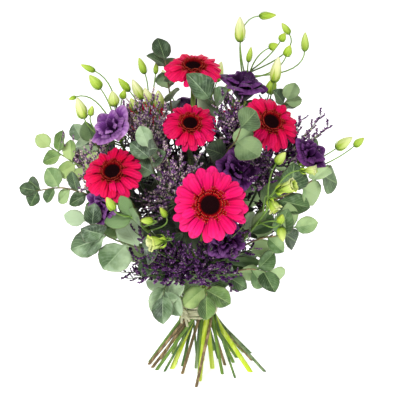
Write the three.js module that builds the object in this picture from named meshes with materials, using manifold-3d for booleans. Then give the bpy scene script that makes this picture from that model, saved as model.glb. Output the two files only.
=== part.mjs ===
// A hand-tied bouquet that stands on its own cut stems: gerberas, lisianthus with their buds,
// eucalyptus and statice, all crossing in a spiral at one raffia tie.
//
// Millimetres, +Z up, front of the bouquet towards -Y, origin on the table under the middle of the
// outline. The layout itself is drawn about the axis of the bundle. Every stem runs from its cut foot
// on the table, through the tie, up to its own flower or sprig. The stems are settled apart from each
// other by a small relaxation, and the leaves and florets take the first of a few places where they
// are clear of everything else.

import * as THREE from "three";
import Module from "manifold-3d";
import { mergeVertices } from "three/addons/utils/BufferGeometryUtils.js";

const wasm = await Module();
wasm.setup();
const { Manifold, Mesh } = wasm;

// ---------------------------------------------------------------- driving dimensions

const GAP = 0.35; // clearance kept between two pieces
const WAIST = { x: 6, y: 0, z: 80, radius: 22.5 }; // the bundle of stems where the raffia goes round
const TIE_BAND = 11; // height of the wound raffia
const FEET = { x: 22, y: 0, across: 78, deep: 62 }; // the ellipse that the outermost cut ends stand on
const SPIRAL_TWIST = 0.5; // radians that a foot lies round from straight opposite its flower
const FULL_LEAN = 0.55; // a stem that leans out this steeply stands on the outermost ellipse
const LEAST_SPREAD = 0.1; // how far out an upright one stands, as a share of it
const LEVELS = [0, 62, 80, 98, 128, 160, 192, 224, 256, 288, 320]; // heights where a stem may bend
const STEM_RADIUS = { gerbera: 3.0, lisianthus: 2.1, eucalyptus: 1.9, statice: 1.5 };
const STEM_SIDES = { gerbera: 6, lisianthus: 5, eucalyptus: 4, statice: 4 };

const MIDDLE = { x: 1.2, y: 12.9 }; // the middle of the whole outline, in the layout below

const COLOURS = {
  stem: [0x8fb53a, 0.55],
  petals: [0xe8104f, 0.6],
  disc: [0x3a0a10, 0.8],
  purple: [0x4b1a80, 0.6],
  leaf: [0x7fa183, 0.6],
  statice: [0x7d5a97, 0.8],
  raffia: [0xc9b98a, 0.8],
};

// Head: middle of the disc. Face: the way it looks. Width: tip to tip.
const GERBERAS = [
  { name: "gerbera_front", head: [21, -125, 245], face: [0, -0.96, 0.28], width: 88, turn: 3 },
  { name: "gerbera_left", head: [-88, -80, 271], face: [-0.16, -0.7, 0.69], width: 73, turn: 11 },
  { name: "gerbera_middle", head: [-1, -50, 320], face: [0.04, -0.68, 0.73], width: 68, turn: 5 },
  { name: "gerbera_top", head: [2, -5, 379], face: [0.02, -0.44, 0.9], width: 73, turn: 8 },
  { name: "gerbera_right", head: [91, -45, 321], face: [0.3, -0.72, 0.62], width: 75, turn: 0 },
  { name: "gerbera_back_left", head: [-68, 95, 305], face: [-0.3, 0.68, 0.67], width: 74, turn: 6 },
  { name: "gerbera_back_right", head: [70, 100, 292], face: [0.34, 0.75, 0.57], width: 78, turn: 2 },
];

// Stem: the line of the flowering stem above the bundle. Blooms: head, face and width. Buds: middle,
// the angle of the tip in the X-Z plane and its lean along Y, length and width, and how far up the
// stem its stalk leaves. Frilled ones are opening.
const LISIANTHUS = [
  {
    name: "lisianthus_left",
    stem: [[-58, -12, 236], [-76, -16, 275], [-88, -18, 303]],
    blooms: [{ head: [-93, -48, 318], face: [-0.42, -0.62, 0.66], width: 46, from: 0.9 }],
    buds: [
      { at: [-121, -5, 378], turn: 155, lean: 0, size: [18, 7], from: 0.92 },
      { at: [-112, -15, 363], turn: 128, lean: 0, size: [20, 12], from: 0.98 },
      { at: [-127, -35, 336], turn: 105, lean: -0.2, size: [26, 13], from: 0.7 },
      { at: [-114, -42, 334], turn: 75, lean: -0.3, size: [13, 7], from: 0.76 },
      { at: [-138, -22, 345], turn: 200, lean: 0, size: [9, 5], from: 0.84 },
      { at: [-90, -24, 345], turn: 98, lean: 0, size: [18, 13], from: 1 },
      { at: [-80, -6, 347], turn: 75, lean: 0, size: [11, 8], from: 0.88 },
    ],
  },
  {
    name: "lisianthus_upper_left",
    stem: [[-38, 6, 240], [-46, 6, 285], [-54, 4, 318]],
    blooms: [],
    buds: [
      { at: [-80, 5, 357], turn: 130, lean: 0, size: [20, 9], from: 0.78 },
      { at: [-64, 0, 352], turn: 115, lean: 0, size: [26, 12], from: 0.9 },
      { at: [-51, -8, 345], turn: 110, lean: -0.1, size: [22, 11], from: 0.82 },
      { at: [-68, -16, 337], turn: 108, lean: -0.2, size: [16, 10], from: 0.7 },
      { at: [-59, 16, 378], turn: 110, lean: 0, size: [20, 9], from: 1 },
      { at: [-42, 14, 376], turn: 84, lean: 0, size: [15, 6], from: 0.95 },
      { at: [-38, -14, 343], turn: 95, lean: -0.1, size: [21, 12], from: 0.74 },
    ],
  },
  {
    name: "lisianthus_top",
    stem: [[36, 30, 250], [48, 36, 300], [62, 37, 345], [72, 30, 372]],
    blooms: [{ head: [62, 3, 362], face: [0.08, -0.24, 0.96], width: 50, from: 0.72 }],
    buds: [
      { at: [57, 14, 421], turn: 91, lean: 0, size: [29, 13], from: 0.8 },
      { at: [90, 22, 436], turn: 2, lean: 0.1, size: [20, 9], from: 0.72 },
      { at: [111, 22, 421], turn: 125, lean: 0, size: [16, 8], from: 0.95 },
      { at: [134, 18, 406], turn: 90, lean: 0, size: [22, 9], from: 0.88 },
      { at: [96, 6, 402], turn: 25, lean: -0.1, size: [11, 9], from: 0.92 },
      { at: [107, 10, 412], turn: 60, lean: 0, size: [11, 9], from: 0.98 },
      { at: [113, 2, 397], turn: 72, lean: -0.2, size: [14, 10], from: 0.84 },
      { at: [69, 18, 391], turn: 80, lean: 0, size: [18, 7], from: 0.86 },
    ],
  },
  {
    name: "lisianthus_middle",
    stem: [[44, -28, 226], [68, -8, 275], [92, 6, 334]],
    blooms: [{ head: [53, -72, 272], face: [0.35, -0.75, 0.56], width: 44, from: 0.45 }],
    buds: [
      { at: [99, -4, 376], turn: 80, lean: 0, size: [30, 13], from: 1 },
      { at: [95, 8, 355], turn: 72, lean: 0.1, size: [20, 13], from: 0.9 },
    ],
  },
  {
    name: "lisianthus_right",
    stem: [[72, -18, 196], [104, -26, 238], [124, -30, 262]],
    blooms: [{ head: [138, -52, 287], face: [0.45, -0.62, 0.64], width: 40, from: 0.85 }],
    buds: [
      { at: [178, -30, 294], turn: 36, lean: 0, size: [23, 12], from: 1 },
      { at: [196, -25, 294], turn: 42, lean: 0, size: [15, 9], from: 0.8 },
    ],
  },
  {
    name: "lisianthus_low_right",
    stem: [[58, -46, 176], [76, -62, 206], [88, -76, 228]],
    blooms: [{ head: [38, -90, 194], face: [0.1, -0.93, 0.2], width: 40, from: 0.1 }],
    buds: [
      { at: [101, -74, 286], turn: 55, lean: -0.2, size: [17, 10], from: 1 },
      { at: [132, -72, 271], turn: 5, lean: -0.3, size: [18, 11], from: 0.84, frilled: true },
      { at: [104, -100, 257], turn: 28, lean: -0.4, size: [23, 16], from: 0.92, frilled: true },
      { at: [91, -98, 238], turn: 300, lean: -0.5, size: [15, 15], from: 0.76, frilled: true },
      { at: [101, -92, 220], turn: 75, lean: -0.3, size: [12, 9], from: 0.55 },
      { at: [103, -84, 199], turn: 280, lean: -0.4, size: [17, 10], from: 0.42 },
    ],
  },
  {
    name: "lisianthus_low_left",
    stem: [[-26, -44, 158], [-42, -66, 188], [-58, -84, 211], [-67, -94, 223]],
    leaves: [[0.93, 90, 32, 0.85], [0.93, 270, 32, 0.85], [1, 0, 32, 0.6]],
    blooms: [{ head: [-103, -84, 232], face: [-0.5, -0.8, 0.1], width: 38, from: 0.7 }],
    buds: [
      { at: [-89, -108, 242], turn: 115, lean: -0.2, size: [17, 10], from: 1 },
      { at: [-49, -114, 224], turn: 172, lean: -0.4, size: [15, 8], from: 0.6 },
      { at: [-31, -100, 230], turn: 118, lean: -0.3, size: [14, 7], from: 0.5 },
      { at: [-37, -120, 201], turn: 183, lean: -0.4, size: [20, 18], from: 0.36, frilled: true },
    ],
  },
  {
    name: "lisianthus_back",
    stem: [[2, 40, 220], [0, 66, 265], [0, 84, 292]],
    blooms: [{ head: [4, 112, 318], face: [0.05, 0.62, 0.78], width: 52, from: 0.9 }],
    buds: [
      { at: [-34, 92, 352], turn: 110, lean: 0.3, size: [24, 12], from: 0.82 },
      { at: [34, 84, 362], turn: 76, lean: 0.3, size: [26, 12], from: 0.94 },
      { at: [4, 76, 372], turn: 92, lean: 0.2, size: [20, 10], from: 1 },
      { at: [48, 104, 340], turn: 50, lean: 0.4, size: [16, 9], from: 0.72 },
    ],
  },
];

// Spine: the line of the leafy part. Leaves: where along it, roll about it and length.
const EUCALYPTUS = [
  {
    name: "eucalyptus_upper_left",
    spine: [[-90, -34, 246], [-118, -38, 262], [-142, -32, 274], [-165, -24, 287]],
    leaves: [
      [0.3, 10, 24], [0.38, 200, 27], [0.55, 185, 28], [0.62, 20, 26], [0.8, 200, 25],
      [0.85, 10, 27], [1, 90, 24],
    ],
  },
  {
    name: "eucalyptus_left",
    spine: [[-90, -48, 218], [-118, -50, 236], [-150, -46, 244], [-180, -45, 240]],
    leaves: [
      [0.14, 190, 24], [0.26, 20, 25], [0.36, 200, 24], [0.48, 340, 25], [0.56, 160, 24],
      [0.7, 20, 27], [0.76, 190, 20], [0.94, 60, 27], [0.97, 200, 21], [1, 0, 21],
    ],
  },
  {
    name: "eucalyptus_low_left",
    spine: [[-38, -56, 166], [-66, -82, 184], [-94, -94, 200], [-118, -88, 216]],
    leaves: [
      [0.02, 190, 36], [0.2, 280, 38], [0.26, 20, 40], [0.42, 200, 44], [0.5, 300, 42],
      [0.68, 180, 44], [0.72, 270, 34], [0.9, 40, 26], [1, 200, 26],
    ],
  },
  {
    name: "eucalyptus_collar_left",
    spine: [[-24, -34, 118], [-28, -48, 127], [-31, -60, 127], [-33, -72, 121]],
    leaves: [[0.15, 90, 30], [0.3, 200, 36], [0.42, 280, 34], [0.62, 150, 34], [0.8, 230, 36], [1, 200, 34]],
  },
  {
    name: "eucalyptus_collar_front",
    spine: [[11, -35, 118], [14, -47, 129], [16, -57, 127], [17, -62, 118]],
    leaves: [
      [0.1, 40, 38], [0.2, 330, 36], [0.4, 60, 34], [0.48, 300, 36], [0.72, 90, 34],
      [0.8, 270, 34], [1, 180, 30],
    ],
  },
  {
    name: "eucalyptus_low_right",
    spine: [[24, -28, 120], [44, -52, 140], [66, -62, 150], [88, -60, 146]],
    leaves: [
      [0.2, 30, 30], [0.3, 200, 28], [0.48, 240, 30], [0.55, 40, 32], [0.72, 200, 30],
      [0.82, 330, 32], [0.94, 120, 30], [1, 240, 28],
    ],
  },
  {
    name: "eucalyptus_right_low",
    spine: [[56, -34, 164], [80, -52, 184], [102, -64, 192], [118, -60, 200]],
    leaves: [
      [0.15, 200, 32], [0.3, 330, 36], [0.45, 190, 26], [0.6, 20, 36], [0.75, 210, 30],
      [0.88, 0, 32], [1, 190, 30],
    ],
  },
  {
    name: "eucalyptus_right",
    spine: [[84, -34, 214], [112, -52, 238], [140, -50, 254], [162, -36, 268]],
    leaves: [
      [0.06, 330, 36], [0.2, 190, 38], [0.36, 20, 38], [0.5, 210, 40], [0.66, 10, 36],
      [0.8, 200, 42], [1, 300, 38],
    ],
  },
  {
    name: "eucalyptus_middle",
    spine: [[34, -22, 246], [40, -46, 284], [50, -78, 306], [55, -86, 322]],
    leaves: [[0.3, 120, 34], [0.55, 300, 28], [0.66, 200, 44], [1, 190, 36]],
  },
  {
    name: "eucalyptus_upper_middle",
    spine: [[24, 2, 282], [31, -8, 308], [32, -22, 330], [22, -33, 344]],
    leaves: [[0.35, 270, 32], [0.55, 90, 34], [0.8, 300, 34], [1, 60, 42]],
  },
  {
    name: "eucalyptus_upper_right",
    spine: [[72, 18, 286], [92, 12, 314], [104, -4, 330], [112, -8, 340]],
    leaves: [[0.5, 40, 24], [0.66, 250, 22], [0.82, 60, 24], [0.9, 230, 22], [1, 0, 24]],
  },
  {
    name: "eucalyptus_top_left",
    spine: [[-20, 10, 282], [-24, 10, 326], [-28, 8, 362], [-31, 8, 384]],
    leaves: [
      [0.3, 80, 28], [0.42, 260, 30], [0.55, 100, 28], [0.62, 280, 30], [0.78, 60, 24],
      [0.9, 240, 28], [1, 120, 30],
    ],
  },
  {
    name: "eucalyptus_centre",
    spine: [[-26, -40, 222], [-38, -62, 254], [-44, -74, 278], [-47, -78, 298]],
    leaves: [[0.3, 300, 30], [0.5, 90, 30], [0.7, 270, 28], [0.78, 100, 30], [0.95, 240, 27], [1, 80, 27]],
  },
  {
    name: "eucalyptus_far_left",
    spine: [[-72, 12, 226], [-95, 10, 256], [-108, 2, 276], [-116, -6, 290]],
    leaves: [[0.3, 200, 32], [0.42, 20, 30], [0.6, 90, 32], [0.66, 270, 34], [0.85, 180, 32], [1, 20, 28]],
  },
  {
    name: "eucalyptus_back_left",
    spine: [[-52, 60, 196], [-92, 98, 226], [-124, 122, 246], [-146, 134, 262]],
    leaves: [
      [0.1, 30, 36], [0.18, 200, 36], [0.34, 300, 38], [0.42, 120, 38], [0.58, 30, 36],
      [0.66, 210, 36], [0.82, 300, 32], [0.88, 120, 32], [1, 20, 28],
    ],
  },
  {
    name: "eucalyptus_back_right",
    spine: [[54, 58, 178], [92, 96, 206], [124, 118, 226], [148, 126, 244]],
    leaves: [
      [0.1, 30, 36], [0.18, 200, 36], [0.34, 300, 38], [0.42, 120, 38], [0.58, 30, 36],
      [0.66, 210, 36], [0.82, 300, 32], [0.88, 120, 32], [1, 20, 28],
    ],
  },
];

// Fork: where the stem divides. Tips: the end of each flowering branch.
const STATICE = [
  {
    name: "statice_upper_left",
    fork: [-28, -22, 262],
    tips: [[-34, -42, 318], [-52, -40, 326], [-70, -38, 312]],
  },
  {
    name: "statice_middle",
    fork: [-10, -62, 232],
    tips: [[-12, -92, 290], [-30, -90, 300], [8, -84, 286]],
  },
  {
    name: "statice_upper_right",
    fork: [48, -22, 288],
    tips: [[46, -50, 352], [54, -42, 340], [40, -58, 326], [62, -58, 330]],
  },
  {
    name: "statice_right",
    fork: [92, -10, 262],
    tips: [[84, -72, 290], [150, -22, 324], [158, -26, 312], [128, -26, 320]],
  },
  {
    name: "statice_low",
    fork: [0, -46, 152],
    tips: [
      [-46, -98, 172], [-66, -88, 152], [-26, -106, 182],
      [-4, -106, 188], [50, -72, 128], [66, -94, 198],
    ],
  },
  {
    name: "statice_left",
    fork: [-98, -22, 240],
    tips: [[-150, -28, 296], [-140, -22, 290], [-124, -50, 262], [-122, -66, 246]],
  },
  {
    name: "statice_back",
    fork: [-6, 66, 216],
    tips: [[-48, 132, 262], [-14, 144, 246], [24, 142, 256], [52, 132, 226]],
  },
];

// ---------------------------------------------------------------- small tools

const vec = (a) => new THREE.Vector3(a[0], a[1], a[2]);
const UP = vec([0, 0, 1]);

// A repeatable draw from -1 to 1 for one seed and one index.
function draw(seed, index) {
  let s = (seed * 7919 + index * 104729 + 12345) % 2147483647;
  s = (s * 16807) % 2147483647;
  s = (s * 16807) % 2147483647;
  return (s / 2147483647) * 2 - 1;
}

// A smooth line through its points that keeps one step for each of them.
class Route extends THREE.CatmullRomCurve3 {
  constructor(points) {
    super(points, false, "catmullrom");
  }
  getUtoTmapping(u) {
    return u;
  }
}

// The rotation and place that carry local +Z to a direction at a point.
function frameAt(point, direction, turn = 0) {
  const z = vec(direction).normalize();
  const x = UP.clone().cross(z);
  if (x.lengthSq() < 1e-6) x.set(1, 0, 0);
  x.normalize();
  const y = z.clone().cross(x);
  const matrix = new THREE.Matrix4().makeBasis(x, y, z).setPosition(vec(point));
  return matrix.multiply(new THREE.Matrix4().makeRotationZ(turn));
}

// A closed three.js geometry as a solid, in the frame that a matrix gives.
function solid(geometry, matrix) {
  const bare = new THREE.BufferGeometry();
  bare.setAttribute("position", geometry.getAttribute("position").clone());
  if (geometry.index) bare.setIndex(geometry.index.clone());
  if (matrix) bare.applyMatrix4(matrix);
  const merged = mergeVertices(bare, 1e-3);
  const triVerts = new Uint32Array(merged.index.array);
  const vertProperties = new Float32Array(merged.attributes.position.array);
  return new Manifold(new Mesh({ numProp: 3, vertProperties, triVerts }));
}

// A solid as a three.js geometry.
function geometryOf(body) {
  const mesh = body.getMesh();
  const geometry = new THREE.BufferGeometry();
  geometry.setAttribute("position", new THREE.BufferAttribute(Float32Array.from(mesh.vertProperties), 3));
  geometry.setIndex(new THREE.BufferAttribute(Uint32Array.from(mesh.triVerts), 1));
  return geometry;
}

// The largest of a solid's separate pieces.
function largest(body) {
  return body.decompose().reduce((a, b) => (a.volume() > b.volume() ? a : b));
}

// Joins bodies into one, without the slivers, sealed voids and loose scraps that joining can leave.
const SLIVER = 0.03;

function fuse(bodies) {
  return largest(solid(geometryOf(largest(Manifold.union(bodies)).simplify(SLIVER))));
}

// ---------------------------------------------------------------- stock shapes

// A round stem of one radius through a list of points.
function tube(points, radius, sides) {
  const section = new THREE.Shape(
    Array.from({ length: sides }, (_, i) => {
      const a = (i / sides) * 2 * Math.PI;
      return new THREE.Vector2(radius * Math.cos(a), radius * Math.sin(a));
    }),
  );
  const steps = points.length - 1;
  const path = new Route(points);
  return new THREE.ExtrudeGeometry(section, { steps, extrudePath: path, bevelEnabled: false });
}

// A round stem whose radius is given at each of its points. It may end in a point of radius 0.
function taper(points, radii, sides) {
  const geometry = tube(points, 1, sides);
  const position = geometry.attributes.position;
  for (let i = 0; i < position.count; i++) {
    const offset = new THREE.Vector3().fromBufferAttribute(position, i);
    const away = points.map((point) => point.distanceTo(offset));
    const ring = away.indexOf(Math.min(...away));
    offset.sub(points[ring]).multiplyScalar(radii[ring]).add(points[ring]);
    position.setXYZ(i, offset.x, offset.y, offset.z);
  }
  return geometry;
}

// A petal or leaf along local +X, upper side +Z: one point at the base, rows of left edge, midrib
// and right edge, and one point at the tip. The two faces meet at the edge and stand a thickness
// apart at the midrib. Each row is [place along, half width, height of midrib, height of edges].
function blade(length, thickness, rows, baseHeight, tipHeight) {
  const points = [[0, 0, baseHeight]];
  for (const [along, half, rib, edge] of rows) {
    const x = along * length;
    points.push([x, half, edge], [x, -half, edge]);
    points.push([x, 0, rib + thickness / 2], [x, 0, rib - thickness / 2]);
  }
  points.push([length, 0, tipHeight]);
  const tip = points.length - 1;
  const faces = [];
  const left = (row) => 1 + row * 4;
  const right = (row) => 2 + row * 4;
  for (const [rib, flip] of [[(row) => 3 + row * 4, false], [(row) => 4 + row * 4, true]]) {
    const side = [];
    side.push([0, rib(0), left(0)], [0, right(0), rib(0)]);
    for (let row = 0; row + 1 < rows.length; row++) {
      side.push([left(row), rib(row), rib(row + 1)], [left(row), rib(row + 1), left(row + 1)]);
      side.push([rib(row), right(row), rib(row + 1)], [right(row), right(row + 1), rib(row + 1)]);
    }
    const last = rows.length - 1;
    side.push([left(last), rib(last), tip], [rib(last), right(last), tip]);
    for (const [a, b, c] of side) faces.push(flip ? [a, c, b] : [a, b, c]);
  }
  const geometry = new THREE.BufferGeometry();
  geometry.setAttribute("position", new THREE.Float32BufferAttribute(points.flat(), 3));
  geometry.setIndex(faces.flat());
  return geometry;
}

// A solid of revolution about local +Z from [radius, height] pairs that start and end on the axis.
function lathe(profile, sides) {
  const points = profile.map(([r, h]) => new THREE.Vector2(r, h));
  return new THREE.LatheGeometry(points, sides).rotateX(Math.PI / 2);
}

// ---------------------------------------------------------------- routes of the stems

const unit = (a) => vec(a).normalize();

// The top of a gerbera's stem swells into a green cup of bracts: how deep behind the bloom each of
// its rings lies, and its radius as a share of the bloom's width.
const NECK = 36;
const CALYX = [
  { depth: 14, share: 0, least: 3.2 },
  { depth: 10, share: 0.09, least: 0 },
  { depth: 5.8, share: 0.12, least: 0 },
];

function gerberaTop({ head, face }) {
  const rings = CALYX.map(({ depth }) => vec(head).addScaledVector(unit(face), -depth));
  const rising = rings[0].clone().sub(vec([WAIST.x, WAIST.y, WAIST.z])).normalize();
  const inwards = unit(face).multiplyScalar(0.9).add(rising).normalize();
  return [rings[0].clone().addScaledVector(inwards, -NECK), ...rings];
}

// Every stem of the bouquet: the fixed line at its top, which starts where the stem leaves the bundle.
function allStems() {
  const list = [];
  const add = (name, kind, top) => list.push({ name, kind, radius: STEM_RADIUS[kind], top });
  for (const gerbera of GERBERAS) add(gerbera.name, "gerbera", gerberaTop(gerbera));
  for (const { name, stem } of LISIANTHUS) add(name, "lisianthus", stem.map(vec));
  for (const { name, spine } of EUCALYPTUS) add(name, "eucalyptus", spine.map(vec));
  for (const { name, fork } of STATICE) add(name, "statice", [vec(fork)]);
  return list;
}

// Lays each stem from its foot through the tie to its top, then settles them apart. The bends below
// the fixed top are free to move.
const SETTLE_SEED = 1;
const SETTLE_ROUNDS = 600;
const SETTLE_STEP = 3; // height between the places where two stems are compared
const STRAIGHTEN = 0.3; // at the first round, less and less after it
const STEM_GAP = 0.55;

function settle(stems) {
  stems.forEach((stem, index) => {
    const start = stem.top[0];
    const around = Math.atan2(start.y, start.x);
    const lean = Math.hypot(start.x, start.y) / (start.z - WAIST.z / 2);
    const spread = Math.min(1, LEAST_SPREAD + (1 - LEAST_SPREAD) * (lean / FULL_LEAN));
    const opposite = around + Math.PI + SPIRAL_TWIST;
    stem.foot = [
      FEET.x + FEET.across * spread * Math.cos(opposite),
      FEET.y + FEET.deep * spread * Math.sin(opposite),
    ];
    const waist = spread * (WAIST.radius - 5) * (1 + 0.25 * draw(SETTLE_SEED, index + 60));
    const side = around - Math.PI / 2 + 0.2 * draw(SETTLE_SEED, index);
    const tie = [WAIST.x + waist * Math.cos(side), WAIST.y + waist * Math.sin(side)];
    stem.z = [...LEVELS.filter((level) => level < start.z - 14), start.z];
    stem.xy = stem.z.map((z) => {
      const t = z < WAIST.z ? z / WAIST.z : (z - WAIST.z) / (start.z - WAIST.z);
      const from = z < WAIST.z ? stem.foot : tie;
      const to = z < WAIST.z ? tie : [start.x, start.y];
      return [from[0] + (to[0] - from[0]) * t, from[1] + (to[1] - from[1]) * t];
    });
    stem.free = stem.z.length - 1;
    for (const point of stem.top.slice(1)) {
      if (point.z < stem.z[stem.z.length - 1] + SETTLE_STEP) break;
      stem.z.push(point.z);
      stem.xy.push([point.x, point.y]);
    }
    stem.samples = [];
    for (let z = SETTLE_STEP / 2; z < stem.z[stem.z.length - 1]; z += SETTLE_STEP) {
      const i = stem.z.findIndex((level, k) => z < stem.z[k + 1]);
      stem.samples.push([i, (z - stem.z[i]) / (stem.z[i + 1] - stem.z[i])]);
    }
  });
  for (let round = 0; round < SETTLE_ROUNDS; round++) {
    straighten(stems, STRAIGHTEN * Math.max(0, 1 - (1.25 * round) / SETTLE_ROUNDS));
    pushApart(stems);
    squeeze(stems);
  }
}

// Each bend moves part of the way to the line between its neighbours, and the feet home.
function straighten(stems, share) {
  for (const { z, xy, foot, free } of stems) {
    const old = xy.map((p) => [...p]);
    for (let i = 1; i < free; i++) {
      const t = (z[i] - z[i - 1]) / (z[i + 1] - z[i - 1]);
      for (const k of [0, 1]) {
        const line = old[i - 1][k] + (old[i + 1][k] - old[i - 1][k]) * t;
        xy[i][k] += share * (line - old[i][k]);
      }
    }
    for (const k of [0, 1]) xy[0][k] += 0.3 * share * (foot[k] - old[0][k]);
  }
}

// The bundle stays inside the tie.
function squeeze(stems) {
  for (const { z, xy, radius } of stems) {
    for (const i of [1, 2, 3]) {
      const room = WAIST.radius - radius * 1.15 + (z[i] === WAIST.z ? 0 : 4.5);
      const dx = xy[i][0] - WAIST.x;
      const dy = xy[i][1] - WAIST.y;
      const far = Math.hypot(dx, dy);
      if (far > room) xy[i] = [WAIST.x + (dx * room) / far, WAIST.y + (dy * room) / far];
    }
  }
}

// Position and direction of a stem at one of its samples.
function sampleOf({ z, xy }, [i, t]) {
  const dx = xy[i + 1][0] - xy[i][0];
  const dy = xy[i + 1][1] - xy[i][1];
  const dz = z[i + 1] - z[i];
  const length = Math.hypot(dx, dy, dz);
  return [xy[i][0] + dx * t, xy[i][1] + dy * t, dx / length, dy / length, dz / length];
}

// Two stems that come too close at one height each move half of what is missing.
function pushApart(stems) {
  for (const stem of stems) {
    stem.moves = stem.z.map(() => [0, 0, 0]);
    stem.here = stem.samples.map((sample) => sampleOf(stem, sample));
  }
  for (let a = 0; a < stems.length; a++) {
    for (let b = a + 1; b < stems.length; b++) pushPair(stems[a], stems[b]);
  }
  for (const stem of stems) {
    for (let i = 0; i < stem.free; i++) {
      const [mx, my, weight] = stem.moves[i];
      if (weight > 0) stem.xy[i] = [stem.xy[i][0] + mx / weight, stem.xy[i][1] + my / weight];
    }
  }
}

const PUSH_SHARE = 0.55;

function pushPair(a, b) {
  const need = a.radius + b.radius + STEM_GAP;
  const shared = Math.min(a.samples.length, b.samples.length);
  for (let s = 0; s < shared; s++) {
    const p = a.here[s];
    const q = b.here[s];
    const dx = q[0] - p[0];
    const dy = q[1] - p[1];
    if (dx * dx + dy * dy > 4 * need * need) continue;
    const wx = p[2] + q[2];
    const wy = p[3] + q[3];
    const wz = p[4] + q[4];
    const along = (dx * wx + dy * wy) / (wx * wx + wy * wy + wz * wz);
    const nx = dx - along * wx;
    const ny = dy - along * wy;
    const apart = Math.sqrt(Math.max(1e-6, dx * dx + dy * dy - along * (dx * wx + dy * wy)));
    if (apart >= need) continue;
    const flat = Math.max(1e-3, Math.hypot(nx, ny));
    const half = (need - apart) * PUSH_SHARE;
    for (const [stem, sign] of [[a, -1], [b, 1]]) {
      const [i, t] = stem.samples[s];
      for (const [k, weight] of [[i, 1 - t], [i + 1, t]]) {
        const move = stem.moves[k];
        move[0] += (sign * weight * half * nx) / flat;
        move[1] += (sign * weight * half * ny) / flat;
        move[2] += weight;
      }
    }
  }
}

// The whole line of a settled stem, from its foot to its top, without the bends that hardly bend.
const STRAIGHT_ENOUGH = 0.22;

function lineOf(stem) {
  const low = stem.xy.slice(0, stem.free).map(([x, y], i) => new THREE.Vector3(x, y, stem.z[i]));
  const line = [...low, ...stem.top];
  for (let i = 1; i + 1 < line.length; ) {
    const chord = new THREE.Line3(line[i - 1], line[i + 1]);
    const near = chord.closestPointToPoint(line[i], true, new THREE.Vector3());
    if (near.distanceTo(line[i]) < STRAIGHT_ENOUGH) line.splice(i, 1);
    else i++;
  }
  return line;
}

// The part of a settled stem's line above a height.
function lineAbove(stem, height) {
  const line = lineOf(stem);
  const i = line.findIndex(({ z }) => z > height);
  const share = (height - line[i - 1].z) / (line[i].z - line[i - 1].z);
  return [line[i - 1].clone().lerp(line[i], share), ...line.slice(i)];
}

// ---------------------------------------------------------------- keeping pieces clear

const placed = [];

function boxOf(body) {
  const { min, max } = body.boundingBox();
  return { min, max };
}

function place(node, body) {
  placed.push({ node, body, box: boxOf(body) });
  return body;
}

// True where a body keeps the gap to every piece of every other node.
function isClear(node, body) {
  const box = boxOf(body);
  return placed.every((other) => {
    if (other.node === node) return true;
    const apart = [0, 1, 2].some(
      (k) => other.box.min[k] - GAP > box.max[k] || box.min[k] - GAP > other.box.max[k],
    );
    return apart || body.minGap(other.body, 2 * GAP) > GAP;
  });
}

// The first of several bodies that is clear, or null.
function firstClear(node, bodies) {
  for (const make of bodies) {
    const body = make();
    if (isClear(node, body)) return place(node, body);
  }
  return null;
}

// ---------------------------------------------------------------- the pieces

const bouquet = new THREE.Group();

function mesh(name, geometry, look, parent = bouquet) {
  const [color, roughness] = COLOURS[look];
  const made = new THREE.Mesh(geometry, new THREE.MeshStandardMaterial({ color, roughness, metalness: 0 }));
  made.name = name;
  parent.add(made);
  return made;
}

// A stem's tube, cut flat at the table. The radii of its last points may differ from the rest.
function stemBody(stem, lastRadii = []) {
  const line = lineOf(stem);
  const below = line[0].clone().addScaledVector(line[1].clone().sub(line[0]), -0.15);
  const plain = Array.from({ length: line.length - lastRadii.length }, () => stem.radius);
  const body = solid(taper([below, ...line.slice(1)], [...plain, ...lastRadii], STEM_SIDES[stem.kind]));
  return body.trimByPlane([0, 0, 1], 0);
}

// One layer of ray petals as a single closed leafy disc. Each ray has a rib of full thickness along
// its middle, and its edges, where the two faces meet, run from the notch beside the neighbour's.
function rosette(rays, notch, rootHeight, middle) {
  const points = [[0, 0, middle.top], [0, 0, middle.low]];
  const faces = [];
  const polar = (angle, radius, side, height) => [
    radius * Math.cos(angle) - side * Math.sin(angle),
    radius * Math.sin(angle) + side * Math.cos(angle),
    height,
  ];
  const n = rays.length;
  const step = (2 * Math.PI) / n;
  for (const { angle, reach, half, rise, thickness } of rays) {
    const wide = notch + (reach - notch) * 0.66;
    points.push(polar(angle - step / 2, notch, 0, rootHeight));
    points.push(polar(angle, notch, 0, rootHeight + thickness / 2));
    points.push(polar(angle, notch, 0, rootHeight - thickness / 2));
    points.push(polar(angle, wide, half, rise - 0.6), polar(angle, wide, -half, rise - 0.6));
    points.push(polar(angle, wide, 0, rise + thickness / 2), polar(angle, wide, 0, rise - thickness / 2));
    points.push(polar(angle, reach, 0, rise - 1.2));
  }
  for (let i = 0; i < n; i++) {
    const at = (k) => 2 + i * 8 + k;
    const next = 2 + ((i + 1) % n) * 8;
    for (const [centre, rib, broad, flip] of [[0, at(1), at(5), false], [1, at(2), at(6), true]]) {
      const side = [
        [centre, at(0), rib], [centre, rib, next],
        [at(0), at(4), broad], [at(0), broad, rib],
        [rib, broad, at(3)], [rib, at(3), next],
        [at(4), at(7), broad], [broad, at(7), at(3)],
      ];
      for (const [p, q, r] of side) faces.push(...(flip ? [p, r, q] : [p, q, r]));
    }
  }
  const geometry = new THREE.BufferGeometry();
  geometry.setAttribute("position", new THREE.Float32BufferAttribute(points.flat(), 3));
  geometry.setIndex(faces);
  return geometry;
}

// Ray petals in two layers, the upper layer over the gaps of the lower.
const RAYS = 11;
const RAY_LAYERS = [
  { reach: 1, notch: 0.18, root: -3.6, rise: -2.2, middle: { top: -2.2, low: -5.4 }, shift: 0 },
  { reach: 0.9, notch: 0.2, root: -1.7, rise: 0.6, middle: { top: -1.2, low: -4.4 }, shift: 0.5 },
];

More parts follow.
